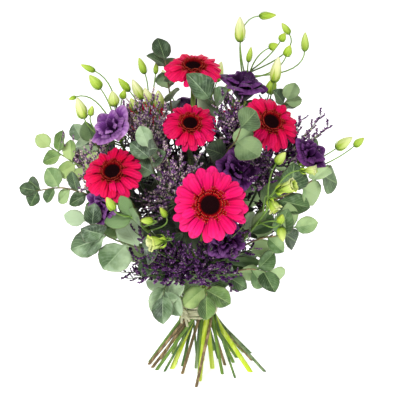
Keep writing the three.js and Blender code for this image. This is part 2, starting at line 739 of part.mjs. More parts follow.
function gerberaRays(width, seed) {
  const layers = RAY_LAYERS.map(({ reach, notch, root, rise, middle, shift }, layer) => {
    const rays = Array.from({ length: RAYS }, (_, i) => {
      const varied = (share, item) => 1 + share * draw(seed, i + layer * RAYS + item * 100);
      return {
        angle: ((i + shift) / RAYS) * 2 * Math.PI + 0.05 * draw(seed, i + 400),
        reach: (width / 2) * reach * varied(0.04, 0),
        half: width * 0.084 * varied(0.08, 1),
        rise: rise * varied(0.5, 2),
        thickness: 1.1,
      };
    });
    return solid(rosette(rays, width * notch, root, middle));
  });
  return fuse(layers);
}

// Moves every second column of a lathe's points, of those that a test picks.
function pleat(geometry, perColumn, picks, move) {
  const position = geometry.attributes.position;
  for (let i = 0; i < position.count; i++) {
    const odd = Math.floor(i / perColumn) % 2 === 1;
    const point = new THREE.Vector3().fromBufferAttribute(position, i);
    if (odd && picks(point)) position.setXYZ(i, ...move(point).toArray());
  }
  return geometry;
}

// The dark eye inside its ring of short red florets.
const RING_FLORETS = 7;

function gerberaEye(width) {
  const ring = width * 0.185;
  const eye = width * 0.12;
  const profile = [[0, -0.8], [ring * 0.7, -0.8], [ring, 2.8], [eye, 2.4], [0, 3.4]];
  const geometry = lathe(profile, RING_FLORETS * 2);
  const inRing = (point) => Math.hypot(point.x, point.y) > ring * 0.8;
  const dip = (point) => point.set(point.x * 0.9, point.y * 0.9, point.z - 0.5);
  return solid(pleat(geometry, profile.length, inRing, dip));
}

function buildGerbera(gerbera, stem) {
  const { name, head, face, width, turn } = gerbera;
  const matrix = frameAt(head, face, turn * 0.1);
  const rays = gerberaRays(width, turn + 7);
  const eye = gerberaEye(width);
  const green = stemBody(stem, CALYX.map(({ share, least }) => Math.max(least, share * width)));
  const bloom = new THREE.Group();
  bloom.applyMatrix4(matrix);
  bouquet.add(bloom);
  mesh(name + "_stem", geometryOf(green), "stem");
  mesh(name + "_petals", geometryOf(rays), "petals", bloom);
  mesh(name + "_eye", geometryOf(eye), "disc", bloom);
  place(name + "_stem", green);
  place(name + "_petals", solid(geometryOf(rays), matrix));
  place(name + "_eye", solid(geometryOf(eye), matrix));
}

// A lisianthus bloom: a whorl of broad petals that cup and roll out, and a tighter inner whorl. Each
// petal is turned a little about its own length, so that one edge lies inside its neighbour.
const BLOOM_BASE = 0.62; // depth of the cup over its width
const WHORLS = [
  { count: 5, bulge: 0.36, rim: 0.47, top: 1, half: 0.27, shift: 0, twist: 0.22 },
  { count: 3, bulge: 0.17, rim: 0.23, top: 3, half: 0.2, shift: 0.4, twist: 0.3 },
];

function lisianthusBloom(width, seed) {
  const depth = width * BLOOM_BASE;
  const cup = [[0, -depth], [3.4, -depth + 0.6], [4.4, -depth + 6], [0, -depth + 7]];
  const bodies = [solid(lathe(cup, 8))];
  for (const whorl of WHORLS) {
    for (let i = 0; i < whorl.count; i++) {
      const wave = width * (1 + 0.07 * draw(seed, i + whorl.count * 10));
      const half = whorl.half * width;
      const rows = [
        [0.45, half * 0.86, whorl.bulge * wave, whorl.bulge * wave * 0.86],
        [0.84, half * 0.9, whorl.rim * wave, whorl.rim * wave * 0.9],
      ];
      const petal = blade(depth + whorl.top - 2, 1.2, rows, 0, whorl.rim * wave + 2);
      petal.rotateY(-Math.PI / 2).rotateZ(Math.PI).rotateZ(whorl.twist);
      const matrix = new THREE.Matrix4().makeRotationZ(((i + whorl.shift) / whorl.count) * 2 * Math.PI);
      bodies.push(solid(petal.translate(0.8, 0, -depth + 2), matrix));
    }
  }
  return fuse(bodies);
}

// A closed bud with its stalk, as one tapered shape: shares of the length and of the radius.
const BUD_PROFILE = [[0, 0.45], [0.2, 0.92], [0.46, 1], [0.84, 0.42], [1, 0]];
const LARGE_BUD = 19;
const STALK_RADIUS = 0.8;

function budOnStalk(line, { at, from, size: [length, width] }, direction) {
  const along = (share) => vec(at).addScaledVector(direction, (share - 0.5) * length);
  const stalk = stalkPoints(line, from, along(0), direction, 0.4).slice(0, -1);
  const points = [...stalk, ...BUD_PROFILE.map(([share]) => along(share))];
  const radii = [...stalk.map(() => STALK_RADIUS), ...BUD_PROFILE.map(([, r]) => (r * width) / 2)];
  return taper(points, radii, length > LARGE_BUD ? 5 : 4);
}

// A bud that opens into a frilled cup, along local +Z.
function frilledBud(length, width) {
  const at = (share) => (share - 0.5) * length;
  const profile = [[0, at(0)], [width * 0.36, at(0.2)], [width * 0.5, at(0.88)], [0, at(0.62)]];
  const atRim = (point) => point.z > at(0.85);
  return pleat(lathe(profile, 8), profile.length, atRim, (point) => point.setZ(at(1.08)));
}

// The way a bud points, from its angle in the X-Z plane and its lean along Y.
function budDirection({ turn, lean }) {
  const a = (turn / 180) * Math.PI;
  return unit([Math.cos(a), lean, Math.sin(a)]);
}

// A stalk that leaves the stem at one share of its line and comes up behind a flower or bud.
const STALK_STEPS = 2;

function stalkPoints(line, from, end, direction, bow) {
  const start = new Route(line).getPoint(from);
  const pull = end.clone().addScaledVector(direction, -bow * start.distanceTo(end));
  const curve = new THREE.QuadraticBezierCurve3(start, pull, end);
  return curve.getPoints(STALK_STEPS);
}

// Everything but the leaves: gives the green parts, which the leaves then join.
function buildLisianthus({ name, blooms, buds, stem: top }, stem) {
  const line = top.map(vec);
  const green = [stemBody(stem)];
  blooms.forEach((bloom, i) => {
    const depth = bloom.width * BLOOM_BASE;
    const matrix = frameAt(bloom.head, bloom.face);
    const base = vec(bloom.head).addScaledVector(unit(bloom.face), -depth - GAP - 0.9);
    const points = stalkPoints(line, bloom.from, base, unit(bloom.face), 0.45);
    green.push(solid(tube(points, 1.4, 4)));
    const low = -depth - GAP;
    green.push(solid(lathe([[0, low - 5], [2.2, low - 4.4], [3.6, low], [0, low]], 6), matrix));
    const petals = lisianthusBloom(bloom.width, i + name.length);
    const group = new THREE.Group();
    group.applyMatrix4(matrix);
    bouquet.add(group);
    const bloomName = name + "_bloom" + (i ? "_" + (i + 1) : "");
    mesh(bloomName, geometryOf(petals), "purple", group);
    place(bloomName, solid(geometryOf(petals), matrix));
  });
  for (const bud of buds) {
    const direction = budDirection(bud);
    if (!bud.frilled) {
      green.push(solid(budOnStalk(line, bud, direction)));
      continue;
    }
    const base = vec(bud.at).addScaledVector(direction, 1 - bud.size[0] / 2);
    green.push(solid(tube(stalkPoints(line, bud.from, base, direction, 0.4), STALK_RADIUS, 3)));
    green.push(solid(frilledBud(...bud.size), frameAt(bud.at, direction.toArray())));
  }
  return place(name + "_stem", fuse(green));
}

// The frame of a leaf: its base on the spine, +X along it and +Z out of its upper side.
const LEAF_OPENING = 1.0; // radians between the leaf and the spine
const LEAF_FACING = 70; // how strongly leaves look to the front or back rather than sideways

function leafFrame(spine, along, roll, lift) {
  const route = new Route(spine);
  const base = route.getPoint(along);
  const tangent = route.getTangent(along);
  const side = tangent.clone().cross(UP).normalize();
  const over = side.clone().cross(tangent).normalize();
  const a = (roll / 180) * Math.PI;
  const radial = over.multiplyScalar(Math.cos(a)).addScaledVector(side, Math.sin(a));
  const opening = along > 0.97 ? LEAF_OPENING / 3 : LEAF_OPENING + lift;
  const x = tangent.clone().multiplyScalar(Math.cos(opening)).addScaledVector(radial, Math.sin(opening));
  const ahead = base.y > 20 ? LEAF_FACING : -LEAF_FACING;
  const face = new THREE.Vector3(0.35 * base.x, base.y + ahead, 0.5 * (base.z - 150)).normalize();
  const z = face.addScaledVector(x, -face.dot(x)).normalize();
  const y = z.clone().cross(x);
  return new THREE.Matrix4().makeBasis(x, y, z).setPosition(base);
}

// A eucalyptus leaf, nearly round, flat below and ridged along its midrib. The tip leaf is sunk into
// the end of the spine.
const LEAF_SUNK = 1.4;
const LEAF_THICKNESS = 1;

function leafGeometry(length, plump, atTip) {
  const half = length * 0.4 * plump;
  const from = atTip ? -LEAF_SUNK : 0;
  const [low, high] = [length * 0.36, length * 0.76];
  const points = [
    [0, 0, 0], [low, half * 0.9, 0.6], [high, half * 0.84, 0.6], [length, 0, 0],
    [high, -half * 0.84, 0.6], [low, -half * 0.9, 0.6],
    [low, 0, 0.6 + LEAF_THICKNESS], [high, 0, 0.6 + LEAF_THICKNESS],
  ];
  const upper = [[0, 6, 1], [1, 6, 7], [1, 7, 2], [2, 7, 3], [0, 5, 6], [5, 4, 6], [4, 7, 6], [4, 3, 7]];
  const under = [[0, 1, 5], [1, 2, 5], [2, 4, 5], [2, 3, 4]];
  const geometry = new THREE.BufferGeometry();
  geometry.setAttribute("position", new THREE.Float32BufferAttribute(points.flat(), 3));
  geometry.setIndex([...upper, ...under].flat());
  return geometry.translate(from, 0, 0);
}

// The places that a leaf may take, best first: rolled round its spine, and smaller.
const LEAF_ROLLS = [0, 22, -22, 45, -45];
const LEAF_SIZES = [1, 0.82, 0.66];

function leafChoices(spine, along, roll, length, plump, lift) {
  return LEAF_SIZES.flatMap((size) =>
    LEAF_ROLLS.map((more) => () =>
      solid(leafGeometry(length * size, plump, along === 1), leafFrame(spine, along, roll + more, lift)),
    ),
  );
}

// Leaves on the part of a stem that rises through the bouquet, in pairs, each turned a quarter round
// from the pair below. A leaf that finds no clear place is left out.
const BUNDLE_TOP = 98;
const LOWEST_LEAF = 118;
const LOWER_LEAVES = {
  lisianthus: { length: 44, shrink: 0.07, plump: 0.5, pitch: 40 },
  eucalyptus: { length: 34, shrink: 0, plump: 0.95, pitch: 60 },
};

function lowerLeaves(node, stem, highest, seed) {
  const { length, shrink, plump, pitch } = LOWER_LEAVES[stem.kind];
  const line = lineAbove(stem, BUNDLE_TOP);
  const leaves = [];
  let pairs = 0;
  for (let i = 0; i + 1 < line.length; i++) {
    const piece = [line[i], line[i + 1]];
    const count = Math.max(1, Math.round(piece[0].distanceTo(piece[1]) / pitch));
    for (let k = 0; k < count; k++) {
      const along = (k + 0.5) / count;
      const { z } = piece[0].clone().lerp(piece[1], along);
      if (z < LOWEST_LEAF || z > highest) continue;
      for (const side of [0, 1]) {
        const roll = 90 * pairs + 180 * side + 22 * draw(seed, 2 * pairs + side + 700);
        const long = length - shrink * (z - LOWEST_LEAF);
        const leaf = firstClear(node, leafChoices(piece, along, roll, long, plump, 0));
        if (leaf) leaves.push(leaf);
      }
      pairs++;
    }
  }
  return leaves;
}

function buildEucalyptus({ name, spine: top, leaves }, stem, seed) {
  const spine = top.map(vec);
  const bodies = [stemBody(stem)];
  leaves.forEach(([along, roll, length], i) => {
    const plump = 1 + 0.12 * draw(seed, i);
    const lift = 0.15 * draw(seed, i + 50);
    const leaf = firstClear(name, leafChoices(spine, along, roll, length, plump, lift));
    if (leaf) bodies.push(leaf);
  });
  return bodies;
}

// A flowering branch of statice bows out from the fork to its tip.
const STATICE_STEPS = 3;
const STATICE_FLORETS = 4;

function staticeBranch(fork, tip, swing) {
  const start = vec(fork);
  const end = vec(tip);
  const middle = start.clone().lerp(end, 0.5);
  const outwards = middle.clone().setZ(0).normalize();
  middle.addScaledVector(outwards, 0.08 * start.distanceTo(end)).addScaledVector(UP, -swing);
  return new THREE.QuadraticBezierCurve3(start, middle, end);
}

// One floret: a slim three-sided cup that leans forwards off its branch.
function floret(curve, along, around) {
  const base = curve.getPoint(along);
  const tangent = curve.getTangent(along);
  const side = tangent.clone().cross(UP).normalize();
  const over = side.clone().cross(tangent);
  const radial = over.multiplyScalar(Math.cos(around)).addScaledVector(side, Math.sin(around));
  const direction = radial.multiplyScalar(0.85).addScaledVector(tangent, 0.6).normalize();
  const cup = lathe([[0, -0.6], [1.9, 4.2], [0, 6.8]], 3);
  return solid(cup, frameAt(base.toArray(), direction.toArray(), around));
}

function buildStatice({ name, fork, tips }, stem, seed) {
  const bodies = [stemBody(stem)];
  tips.forEach((tip, b) => {
    for (const swing of [4, 12, -8, 22, -18]) {
      const curve = staticeBranch(fork, tip, swing);
      const twig = solid(tube(curve.getPoints(STATICE_STEPS), 0.9, 3));
      if (!isClear(name, twig)) continue;
      bodies.push(place(name, twig));
      for (let i = 0; i < STATICE_FLORETS; i++) {
        const along = 0.42 + (0.58 * (i + 0.5)) / STATICE_FLORETS;
        const around = i * 2.4 + draw(seed, i + b * 20);
        const body = floret(curve, along, around);
        if (isClear(name, body)) bodies.push(place(name, body));
      }
      break;
    }
  });
  mesh(name, geometryOf(fuse(bodies)), "statice");
}

// ---------------------------------------------------------------- the tie

// How far the bundle reaches from the middle of its waist in each direction at one height.
function bundleOutline(stems, z, directions) {
  const support = directions.map((a) =>
    Math.max(
      ...stems.map((stem) => {
        const i = stem.z.findIndex((_, k) => z < stem.z[k + 1]);
        const t = (z - stem.z[i]) / (stem.z[i + 1] - stem.z[i]);
        const [x, y, , , dz] = sampleOf(stem, [i, t]);
        return (x - WAIST.x) * Math.cos(a) + (y - WAIST.y) * Math.sin(a) + stem.radius / dz;
      }),
    ),
  );
  return directions.map((a) =>
    Math.min(...directions.map((b, k) => (Math.cos(a - b) > 0.2 ? support[k] / Math.cos(a - b) : Infinity))),
  );
}

// Raffia wound round the bundle, with a flat knot at the front.
const TIE_STEPS = 18;
const RAFFIA = 1.6; // thickness of the wound strands

function buildTie(stems) {
  const directions = Array.from({ length: TIE_STEPS }, (_, i) => (i / TIE_STEPS) * 2 * Math.PI);
  const turns = 2;
  const profile = []; // [height, on the inside or outside]
  const low = WAIST.z - TIE_BAND / 2;
  profile.push([low, 0], [low + TIE_BAND, 0]);
  for (let i = turns; i > 0; i--) {
    profile.push([low + (TIE_BAND * (i - 0.5)) / turns, 1]);
    if (i > 1) profile.push([low + (TIE_BAND * (i - 1)) / turns, 0.55]);
  }
  const levels = [low, WAIST.z, low + TIE_BAND].map((z) => bundleOutline(stems, z, directions));
  const points = [];
  directions.forEach((a, i) => {
    const inner = Math.max(...levels.map((outline) => outline[i])) / Math.cos(Math.PI / TIE_STEPS) + 2 * GAP;
    for (const [z, out] of profile) {
      const r = inner + out * RAFFIA;
      points.push(WAIST.x + r * Math.cos(a), WAIST.y + r * Math.sin(a), z);
    }
  });
  const n = profile.length;
  const faces = [];
  for (let i = 0; i < TIE_STEPS; i++) {
    for (let k = 0; k < n; k++) {
      const a = i * n + k;
      const b = i * n + ((k + 1) % n);
      const c = ((i + 1) % TIE_STEPS) * n + k;
      const d = ((i + 1) % TIE_STEPS) * n + ((k + 1) % n);
      faces.push(a, b, c, b, d, c);
    }
  }
  const band = new THREE.BufferGeometry();
  band.setAttribute("position", new THREE.Float32BufferAttribute(points, 3));
  band.setIndex(faces);
  const body = solid(band);
  mesh("raffia_tie", geometryOf(body), "raffia");
  place("raffia_tie", body);
}

// ---------------------------------------------------------------- the bouquet

const stems = allStems();
settle(stems);
const stemOf = Object.fromEntries(stems.map((stem) => [stem.name, stem]));
for (const stem of stems) {
  if (stem.kind === "eucalyptus" || stem.kind === "statice") place(stem.name, stemBody(stem));
}
for (const gerbera of GERBERAS) buildGerbera(gerbera, stemOf[gerbera.name]);
const flowering = LISIANTHUS.map((lisianthus) => buildLisianthus(lisianthus, stemOf[lisianthus.name]));
buildTie(stems);
const leafy = EUCALYPTUS.map((sprig, i) => buildEucalyptus(sprig, stemOf[sprig.name], i + 3));
STATICE.forEach((spray, i) => buildStatice(spray, stemOf[spray.name], i + 31));
LISIANTHUS.forEach(({ name, stem, leaves = [] }, i) => {
  const node = name + "_stem";
  const upper = leaves
    .map(([along, roll, long, plump]) =>
      firstClear(node, leafChoices(stem.map(vec), along, roll, long, plump, 0)),
    )
    .filter(Boolean);
  const lower = lowerLeaves(node, stemOf[name], stem.at(-1)[2] - 30, i + 51);
  mesh(node, geometryOf(fuse([flowering[i], ...upper, ...lower])), "stem");
});
EUCALYPTUS.forEach(({ name, spine }, i) => {
  const leaves = lowerLeaves(name, stemOf[name], spine[0][2], i + 3);
  mesh(name, geometryOf(fuse([...leafy[i], ...leaves])), "leaf");
});

bouquet.position.set(-MIDDLE.x, -MIDDLE.y, 0);

export default bouquet;
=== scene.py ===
"""A hand-tied bouquet that stands on its own cut stems: gerberas, lisianthus, eucalyptus and statice.

Each fine piece takes the place of its plain solid. Everything is drawn in the millimetres of the
bouquet's layout, about the axis of the bundle, and moved into the frame when a piece is finished.
"""

import math

import bmesh
import bpy
from mathutils import Matrix, Vector, kdtree


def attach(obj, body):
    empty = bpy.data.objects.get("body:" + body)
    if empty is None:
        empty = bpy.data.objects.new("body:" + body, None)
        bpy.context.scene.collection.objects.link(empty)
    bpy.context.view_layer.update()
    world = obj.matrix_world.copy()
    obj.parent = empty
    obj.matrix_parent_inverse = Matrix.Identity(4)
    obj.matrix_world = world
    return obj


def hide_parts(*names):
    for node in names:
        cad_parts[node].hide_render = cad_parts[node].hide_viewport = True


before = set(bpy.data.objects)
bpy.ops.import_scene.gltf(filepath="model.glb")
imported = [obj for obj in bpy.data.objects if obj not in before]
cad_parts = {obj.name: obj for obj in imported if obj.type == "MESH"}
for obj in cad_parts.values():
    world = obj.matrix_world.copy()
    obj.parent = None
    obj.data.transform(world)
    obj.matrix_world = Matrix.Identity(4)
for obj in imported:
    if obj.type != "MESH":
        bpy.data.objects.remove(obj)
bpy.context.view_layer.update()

MM = 0.001
MIDDLE = Vector((1.2, 12.9, 0))  # the middle of the whole outline, in the layout
TO_FRAME = Matrix.Scale(MM, 4) @ Matrix.Translation(-MIDDLE)
TO_LAYOUT = TO_FRAME.inverted()
UP = Vector((0, 0, 1))
TURN = 2 * math.pi
GOLDEN = TURN * 0.381966  # the angle between one floret of a spiral and the next

# ------------------------------------------------------------------ the layout

# Head: middle of the disc. Face: the way it looks. Width: tip to tip. Pink: from red 0 to magenta 1.
GERBERAS = {
    "front": dict(head=(21, -125, 245), face=(0, -0.96, 0.28), width=88, turn=3, pink=0.9),
    "left": dict(head=(-88, -80, 271), face=(-0.16, -0.7, 0.69), width=73, turn=11, pink=0.15),
    "middle": dict(head=(-1, -50, 320), face=(0.04, -0.68, 0.73), width=68, turn=5, pink=0.35),
    "top": dict(head=(2, -5, 379), face=(0.02, -0.44, 0.9), width=73, turn=8, pink=0.2),
    "right": dict(head=(91, -45, 321), face=(0.3, -0.72, 0.62), width=75, turn=0, pink=0.25),
    "back_left": dict(head=(-68, 95, 305), face=(-0.3, 0.68, 0.67), width=74, turn=6, pink=0.4),
    "back_right": dict(head=(70, 100, 292), face=(0.34, 0.75, 0.57), width=78, turn=2, pink=0.6),
}

# Rise: the bends of the stem between the bundle and its flowering part. Stem: the line of that part.
# Leaves: where along the stem, roll about it, length and how plump. Bloom: head, face, width, how far
# up the stem its stalk leaves, and how pale it is. Buds: middle, angle of the tip in the X-Z plane,
# lean along Y, length, width, where the stalk leaves, how ripe, from green 0.3 to cream 1. Frilled ones
# are opening.
LISIANTHUS = {
    "left": dict(
        rise=[(5.2, 6.6, 98)], stem=[(-58, -12, 236), (-76, -16, 275), (-88, -18, 303)],
        bloom=((-93, -48, 318), (-0.42, -0.62, 0.66), 46, 0.9, 0.8),
        buds=[
            ((-121, -5, 378), 155, 0, 18, 7, 0.92, 0.4), ((-112, -15, 363), 128, 0, 20, 12, 0.98, 0.5),
            ((-127, -35, 336), 105, -0.2, 26, 13, 0.7, 0.9),
            ((-114, -42, 334), 75, -0.3, 13, 7, 0.76, 0.5), ((-138, -22, 345), 200, 0, 9, 5, 0.84, 0.4),
            ((-90, -24, 345), 98, 0, 18, 13, 1, 0.8), ((-80, -6, 347), 75, 0, 11, 8, 0.88, 0.3),
        ],
    ),
    "upper_left": dict(
        rise=[(11.4, 7.8, 98)], stem=[(-38, 6, 240), (-46, 6, 285), (-54, 4, 318)],
        buds=[
            ((-80, 5, 357), 130, 0, 20, 9, 0.78, 0.4), ((-64, 0, 352), 115, 0, 26, 12, 0.9, 1),
            ((-51, -8, 345), 110, -0.1, 22, 11, 0.82, 1), ((-68, -16, 337), 108, -0.2, 16, 10, 0.7, 0.6),
            ((-59, 16, 378), 110, 0, 20, 9, 1, 0.5), ((-42, 14, 376), 84, 0, 15, 6, 0.95, 0.5),
            ((-38, -14, 343), 95, -0.1, 21, 12, 0.74, 0.8),
        ],
    ),
    "top": dict(
        rise=[(18.1, -6.3, 98), (22.7, -1.1, 128), (26, 7.4, 160)],
        stem=[(36, 30, 250), (48, 36, 300), (62, 37, 345), (72, 30, 372)],
        bloom=((62, 3, 362), (0.08, -0.24, 0.96), 50, 0.72, 0.1),
        buds=[
            ((57, 14, 421), 91, 0, 29, 13, 0.8, 1), ((90, 22, 436), 2, 0.1, 20, 9, 0.72, 0.4),
            ((111, 22, 421), 125, 0, 16, 8, 0.95, 0.5), ((134, 18, 406), 90, 0, 22, 9, 0.88, 0.6),
            ((96, 6, 402), 25, -0.1, 11, 9, 0.92, 0.3), ((107, 10, 412), 60, 0, 11, 9, 0.98, 0.3),
            ((113, 2, 397), 72, -0.2, 14, 10, 0.84, 0.4), ((69, 18, 391), 80, 0, 18, 7, 0.86, 0.5),
        ],
    ),
    "middle": dict(
        rise=[(5.6, -11.2, 98)], stem=[(44, -28, 226), (68, -8, 275), (92, 6, 334)],
        bloom=((53, -72, 272), (0.35, -0.75, 0.56), 44, 0.45, 0.1),
        buds=[((99, -4, 376), 80, 0, 30, 13, 1, 1), ((95, 8, 355), 72, 0.1, 20, 13, 0.9, 0.3)],
    ),
    "right": dict(
        rise=[(19.4, -20.2, 98), (36.3, -19.4, 128)],
        stem=[(72, -18, 196), (104, -26, 238), (124, -30, 262)],
        bloom=((138, -52, 287), (0.45, -0.62, 0.64), 40, 0.85, 0.15),
        buds=[((178, -30, 294), 36, 0, 23, 12, 1, 0.8), ((196, -25, 294), 42, 0, 15, 9, 0.8, 0.5)],
    ),
    "low_right": dict(
        rise=[(6.6, -24.1, 98), (24.8, -33.4, 128)], stem=[(58, -46, 176), (76, -62, 206), (88, -76, 228)],
        bloom=((38, -90, 194), (0.1, -0.93, 0.2), 40, 0.1, 0.2),
        buds=[
            ((101, -74, 286), 55, -0.2, 17, 10, 1, 0.6),
            ((132, -72, 271), 5, -0.3, 18, 11, 0.84, "frilled"),
            ((104, -100, 257), 28, -0.4, 23, 16, 0.92, "frilled"),
            ((91, -98, 238), 300, -0.5, 15, 15, 0.76, "frilled"),
            ((101, -92, 220), 75, -0.3, 12, 9, 0.55, 0.4), ((103, -84, 199), 280, -0.4, 17, 10, 0.42, 0.6),
        ],
    ),
    "low_left": dict(
        rise=[(-6.6, -6, 98)], stem=[(-26, -44, 158), (-42, -66, 188), (-58, -84, 211), (-67, -94, 223)],
        leaves=[(0.93, 90, 32, 0.85), (0.93, 270, 32, 0.85), (1, 0, 32, 0.6)],
        bloom=((-103, -84, 232), (-0.5, -0.8, 0.1), 38, 0.7, 0.45),
        buds=[
            ((-89, -108, 242), 115, -0.2, 17, 10, 1, 0.5), ((-49, -114, 224), 172, -0.4, 15, 8, 0.6, 0.5),
            ((-31, -100, 230), 118, -0.3, 14, 7, 0.5, 0.4),
            ((-37, -120, 201), 183, -0.4, 20, 18, 0.36, "frilled"),
        ],
    ),
    "back": dict(
        rise=[(20.6, 3.5, 98)], stem=[(2, 40, 220), (0, 66, 265), (0, 84, 292)],
        bloom=((4, 112, 318), (0.05, 0.62, 0.78), 52, 0.9, 0.2),
        buds=[
            ((-34, 92, 352), 110, 0.3, 24, 12, 0.82, 0.9), ((34, 84, 362), 76, 0.3, 26, 12, 0.94, 0.9),
            ((4, 76, 372), 92, 0.2, 20, 10, 1, 0.5), ((48, 104, 340), 50, 0.4, 16, 9, 0.72, 0.4),
        ],
    ),
}

# Tone: which of the leaf finishes it has. Pale: how much lighter than others of that finish. Rise: the
# bends of the stem between the bundle and its leafy part. Spine: the line of that part. Leaves: where
# along it, roll about it and length.
EUCALYPTUS = {
    "upper_left": dict(
        tone="fresh", pale=0.3, rise=[(-2.8, 8.7, 98), (-20.9, -0.5, 128)],
        spine=[(-90, -34, 246), (-118, -38, 262), (-142, -32, 274), (-165, -24, 287)],
        leaves=[
            (0.3, 10, 24), (0.38, 200, 27), (0.55, 185, 28), (0.62, 20, 26), (0.8, 200, 25),
            (0.85, 10, 27), (1, 90, 24),
        ],
    ),
    "left": dict(
        tone="green", pale=-0.1, rise=[(-8.2, 6.8, 98)],
        spine=[(-90, -48, 218), (-118, -50, 236), (-150, -46, 244), (-180, -45, 240)],
        leaves=[
            (0.14, 190, 24), (0.26, 20, 25), (0.36, 200, 24), (0.48, 340, 25), (0.56, 160, 24),
            (0.7, 20, 27), (0.76, 190, 20), (0.94, 60, 27), (0.97, 200, 21), (1, 0, 21),
        ],
    ),
    "low_left": dict(
        tone="grey", pale=0.02, rise=[(-11.6, -6.7, 98)],
        spine=[(-38, -56, 166), (-66, -82, 184), (-94, -94, 200), (-118, -88, 216)],
        leaves=[
            (0.02, 190, 36), (0.2, 280, 38), (0.26, 20, 40), (0.42, 200, 44), (0.5, 300, 42),
            (0.68, 180, 44), (0.72, 270, 34), (0.9, 40, 26), (1, 200, 26),
        ],
    ),
    "collar_left": dict(
        tone="grey", pale=0.4, rise=[(-14.3, -14.2, 98)],
        spine=[(-24, -34, 118), (-28, -48, 127), (-31, -60, 127), (-33, -72, 121)],
        leaves=[
            (0.15, 90, 30), (0.3, 200, 36), (0.42, 280, 34), (0.62, 150, 34), (0.8, 230, 36), (1, 200, 34),
        ],
    ),
    "collar_front": dict(
        tone="fresh", pale=-0.2, rise=[(1.8, -20.4, 98)],
        spine=[(11, -35, 118), (14, -47, 129), (16, -57, 127), (17, -62, 118)],
        leaves=[
            (0.1, 40, 38), (0.2, 330, 36), (0.4, 60, 34), (0.48, 300, 36), (0.72, 90, 34), (0.8, 270, 34),
            (1, 180, 30),
        ],
    ),
    "low_right": dict(
        tone="green", pale=0.05, rise=[(8.5, -19.9, 98)],
        spine=[(24, -28, 120), (44, -52, 140), (66, -62, 150), (88, -60, 146)],
        leaves=[
            (0.2, 30, 30), (0.3, 200, 28), (0.48, 240, 30), (0.55, 40, 32), (0.72, 200, 30),
            (0.82, 330, 32), (0.94, 120, 30), (1, 240, 28),
        ],
    ),
    "right_low": dict(
        tone="green", pale=0.1, rise=[(13.6, -23.6, 98), (35.3, -28.4, 128)],
        spine=[(56, -34, 164), (80, -52, 184), (102, -64, 192), (118, -60, 200)],
        leaves=[
            (0.15, 200, 32), (0.3, 330, 36), (0.45, 190, 26), (0.6, 20, 36), (0.75, 210, 30),
            (0.88, 0, 32), (1, 190, 30),
        ],
    ),
    "right": dict(
        tone="green", pale=0, rise=[(14.1, -18.9, 98), (31.1, -22.7, 128)],
        spine=[(84, -34, 214), (112, -52, 238), (140, -50, 254), (162, -36, 268)],
        leaves=[
            (0.06, 330, 36), (0.2, 190, 38), (0.36, 20, 38), (0.5, 210, 40), (0.66, 10, 36),
            (0.8, 200, 42), (1, 300, 38),
        ],
    ),
    "middle": dict(
        tone="dark", pale=-0.1, rise=[(5.7, -6.4, 98), (11.2, -10.3, 128)],
        spine=[(34, -22, 246), (40, -46, 284), (50, -78, 306), (55, -86, 322)],
        leaves=[(0.3, 120, 34), (0.55, 300, 28), (0.66, 200, 44), (1, 190, 36)],
    ),
    "upper_middle": dict(
        tone="grey", pale=0, rise=[(12.9, -5.8, 98)],
        spine=[(24, 2, 282), (31, -8, 308), (32, -22, 330), (22, -33, 344)],
        leaves=[(0.35, 270, 32), (0.55, 90, 34), (0.8, 300, 34), (1, 60, 42)],
    ),
    "upper_right": dict(
        tone="dark", pale=0.1, rise=[(17.1, -10.9, 98)],
        spine=[(72, 18, 286), (92, 12, 314), (104, -4, 330), (112, -8, 340)],
        leaves=[(0.5, 40, 24), (0.66, 250, 22), (0.82, 60, 24), (0.9, 230, 22), (1, 0, 24)],
    ),
    "top_left": dict(
        tone="dark", pale=-0.05, rise=[(15.5, 4.5, 98), (9.6, 5.8, 128)],
        spine=[(-20, 10, 282), (-24, 10, 326), (-28, 8, 362), (-31, 8, 384)],
        leaves=[
            (0.3, 80, 28), (0.42, 260, 30), (0.55, 100, 28), (0.62, 280, 30), (0.78, 60, 24),
            (0.9, 240, 28), (1, 120, 30),
        ],
    ),
    "centre": dict(
        tone="grey", pale=-0.1, rise=[(2.3, -1.8, 98)],
        spine=[(-26, -40, 222), (-38, -62, 254), (-44, -74, 278), (-47, -78, 298)],
        leaves=[
            (0.3, 300, 30), (0.5, 90, 30), (0.7, 270, 28), (0.78, 100, 30), (0.95, 240, 27), (1, 80, 27),
        ],
    ),
    "far_left": dict(
        tone="dark", pale=0, rise=[(7.7, 11.8, 98)],
        spine=[(-72, 12, 226), (-95, 10, 256), (-108, 2, 276), (-116, -6, 290)],
        leaves=[
            (0.3, 200, 32), (0.42, 20, 30), (0.6, 90, 32), (0.66, 270, 34), (0.85, 180, 32), (1, 20, 28),
        ],
    ),
    "back_left": dict(
        tone="grey", pale=0, rise=[(11.9, 19.7, 98)],
        spine=[(-52, 60, 196), (-92, 98, 226), (-124, 122, 246), (-146, 134, 262)],
        leaves=[
            (0.1, 30, 36), (0.18, 200, 36), (0.34, 300, 38), (0.42, 120, 38), (0.58, 30, 36),
            (0.66, 210, 36), (0.82, 300, 32), (0.88, 120, 32), (1, 20, 28),
        ],
    ),
    "back_right": dict(
        tone="dark", pale=0, rise=[(30.2, 5.6, 98)],
        spine=[(54, 58, 178), (92, 96, 206), (124, 118, 226), (148, 126, 244)],
        leaves=[
            (0.1, 30, 36), (0.18, 200, 36), (0.34, 300, 38), (0.42, 120, 38), (0.58, 30, 36),
            (0.66, 210, 36), (0.82, 300, 32), (0.88, 120, 32), (1, 20, 28),
        ],
    ),
}

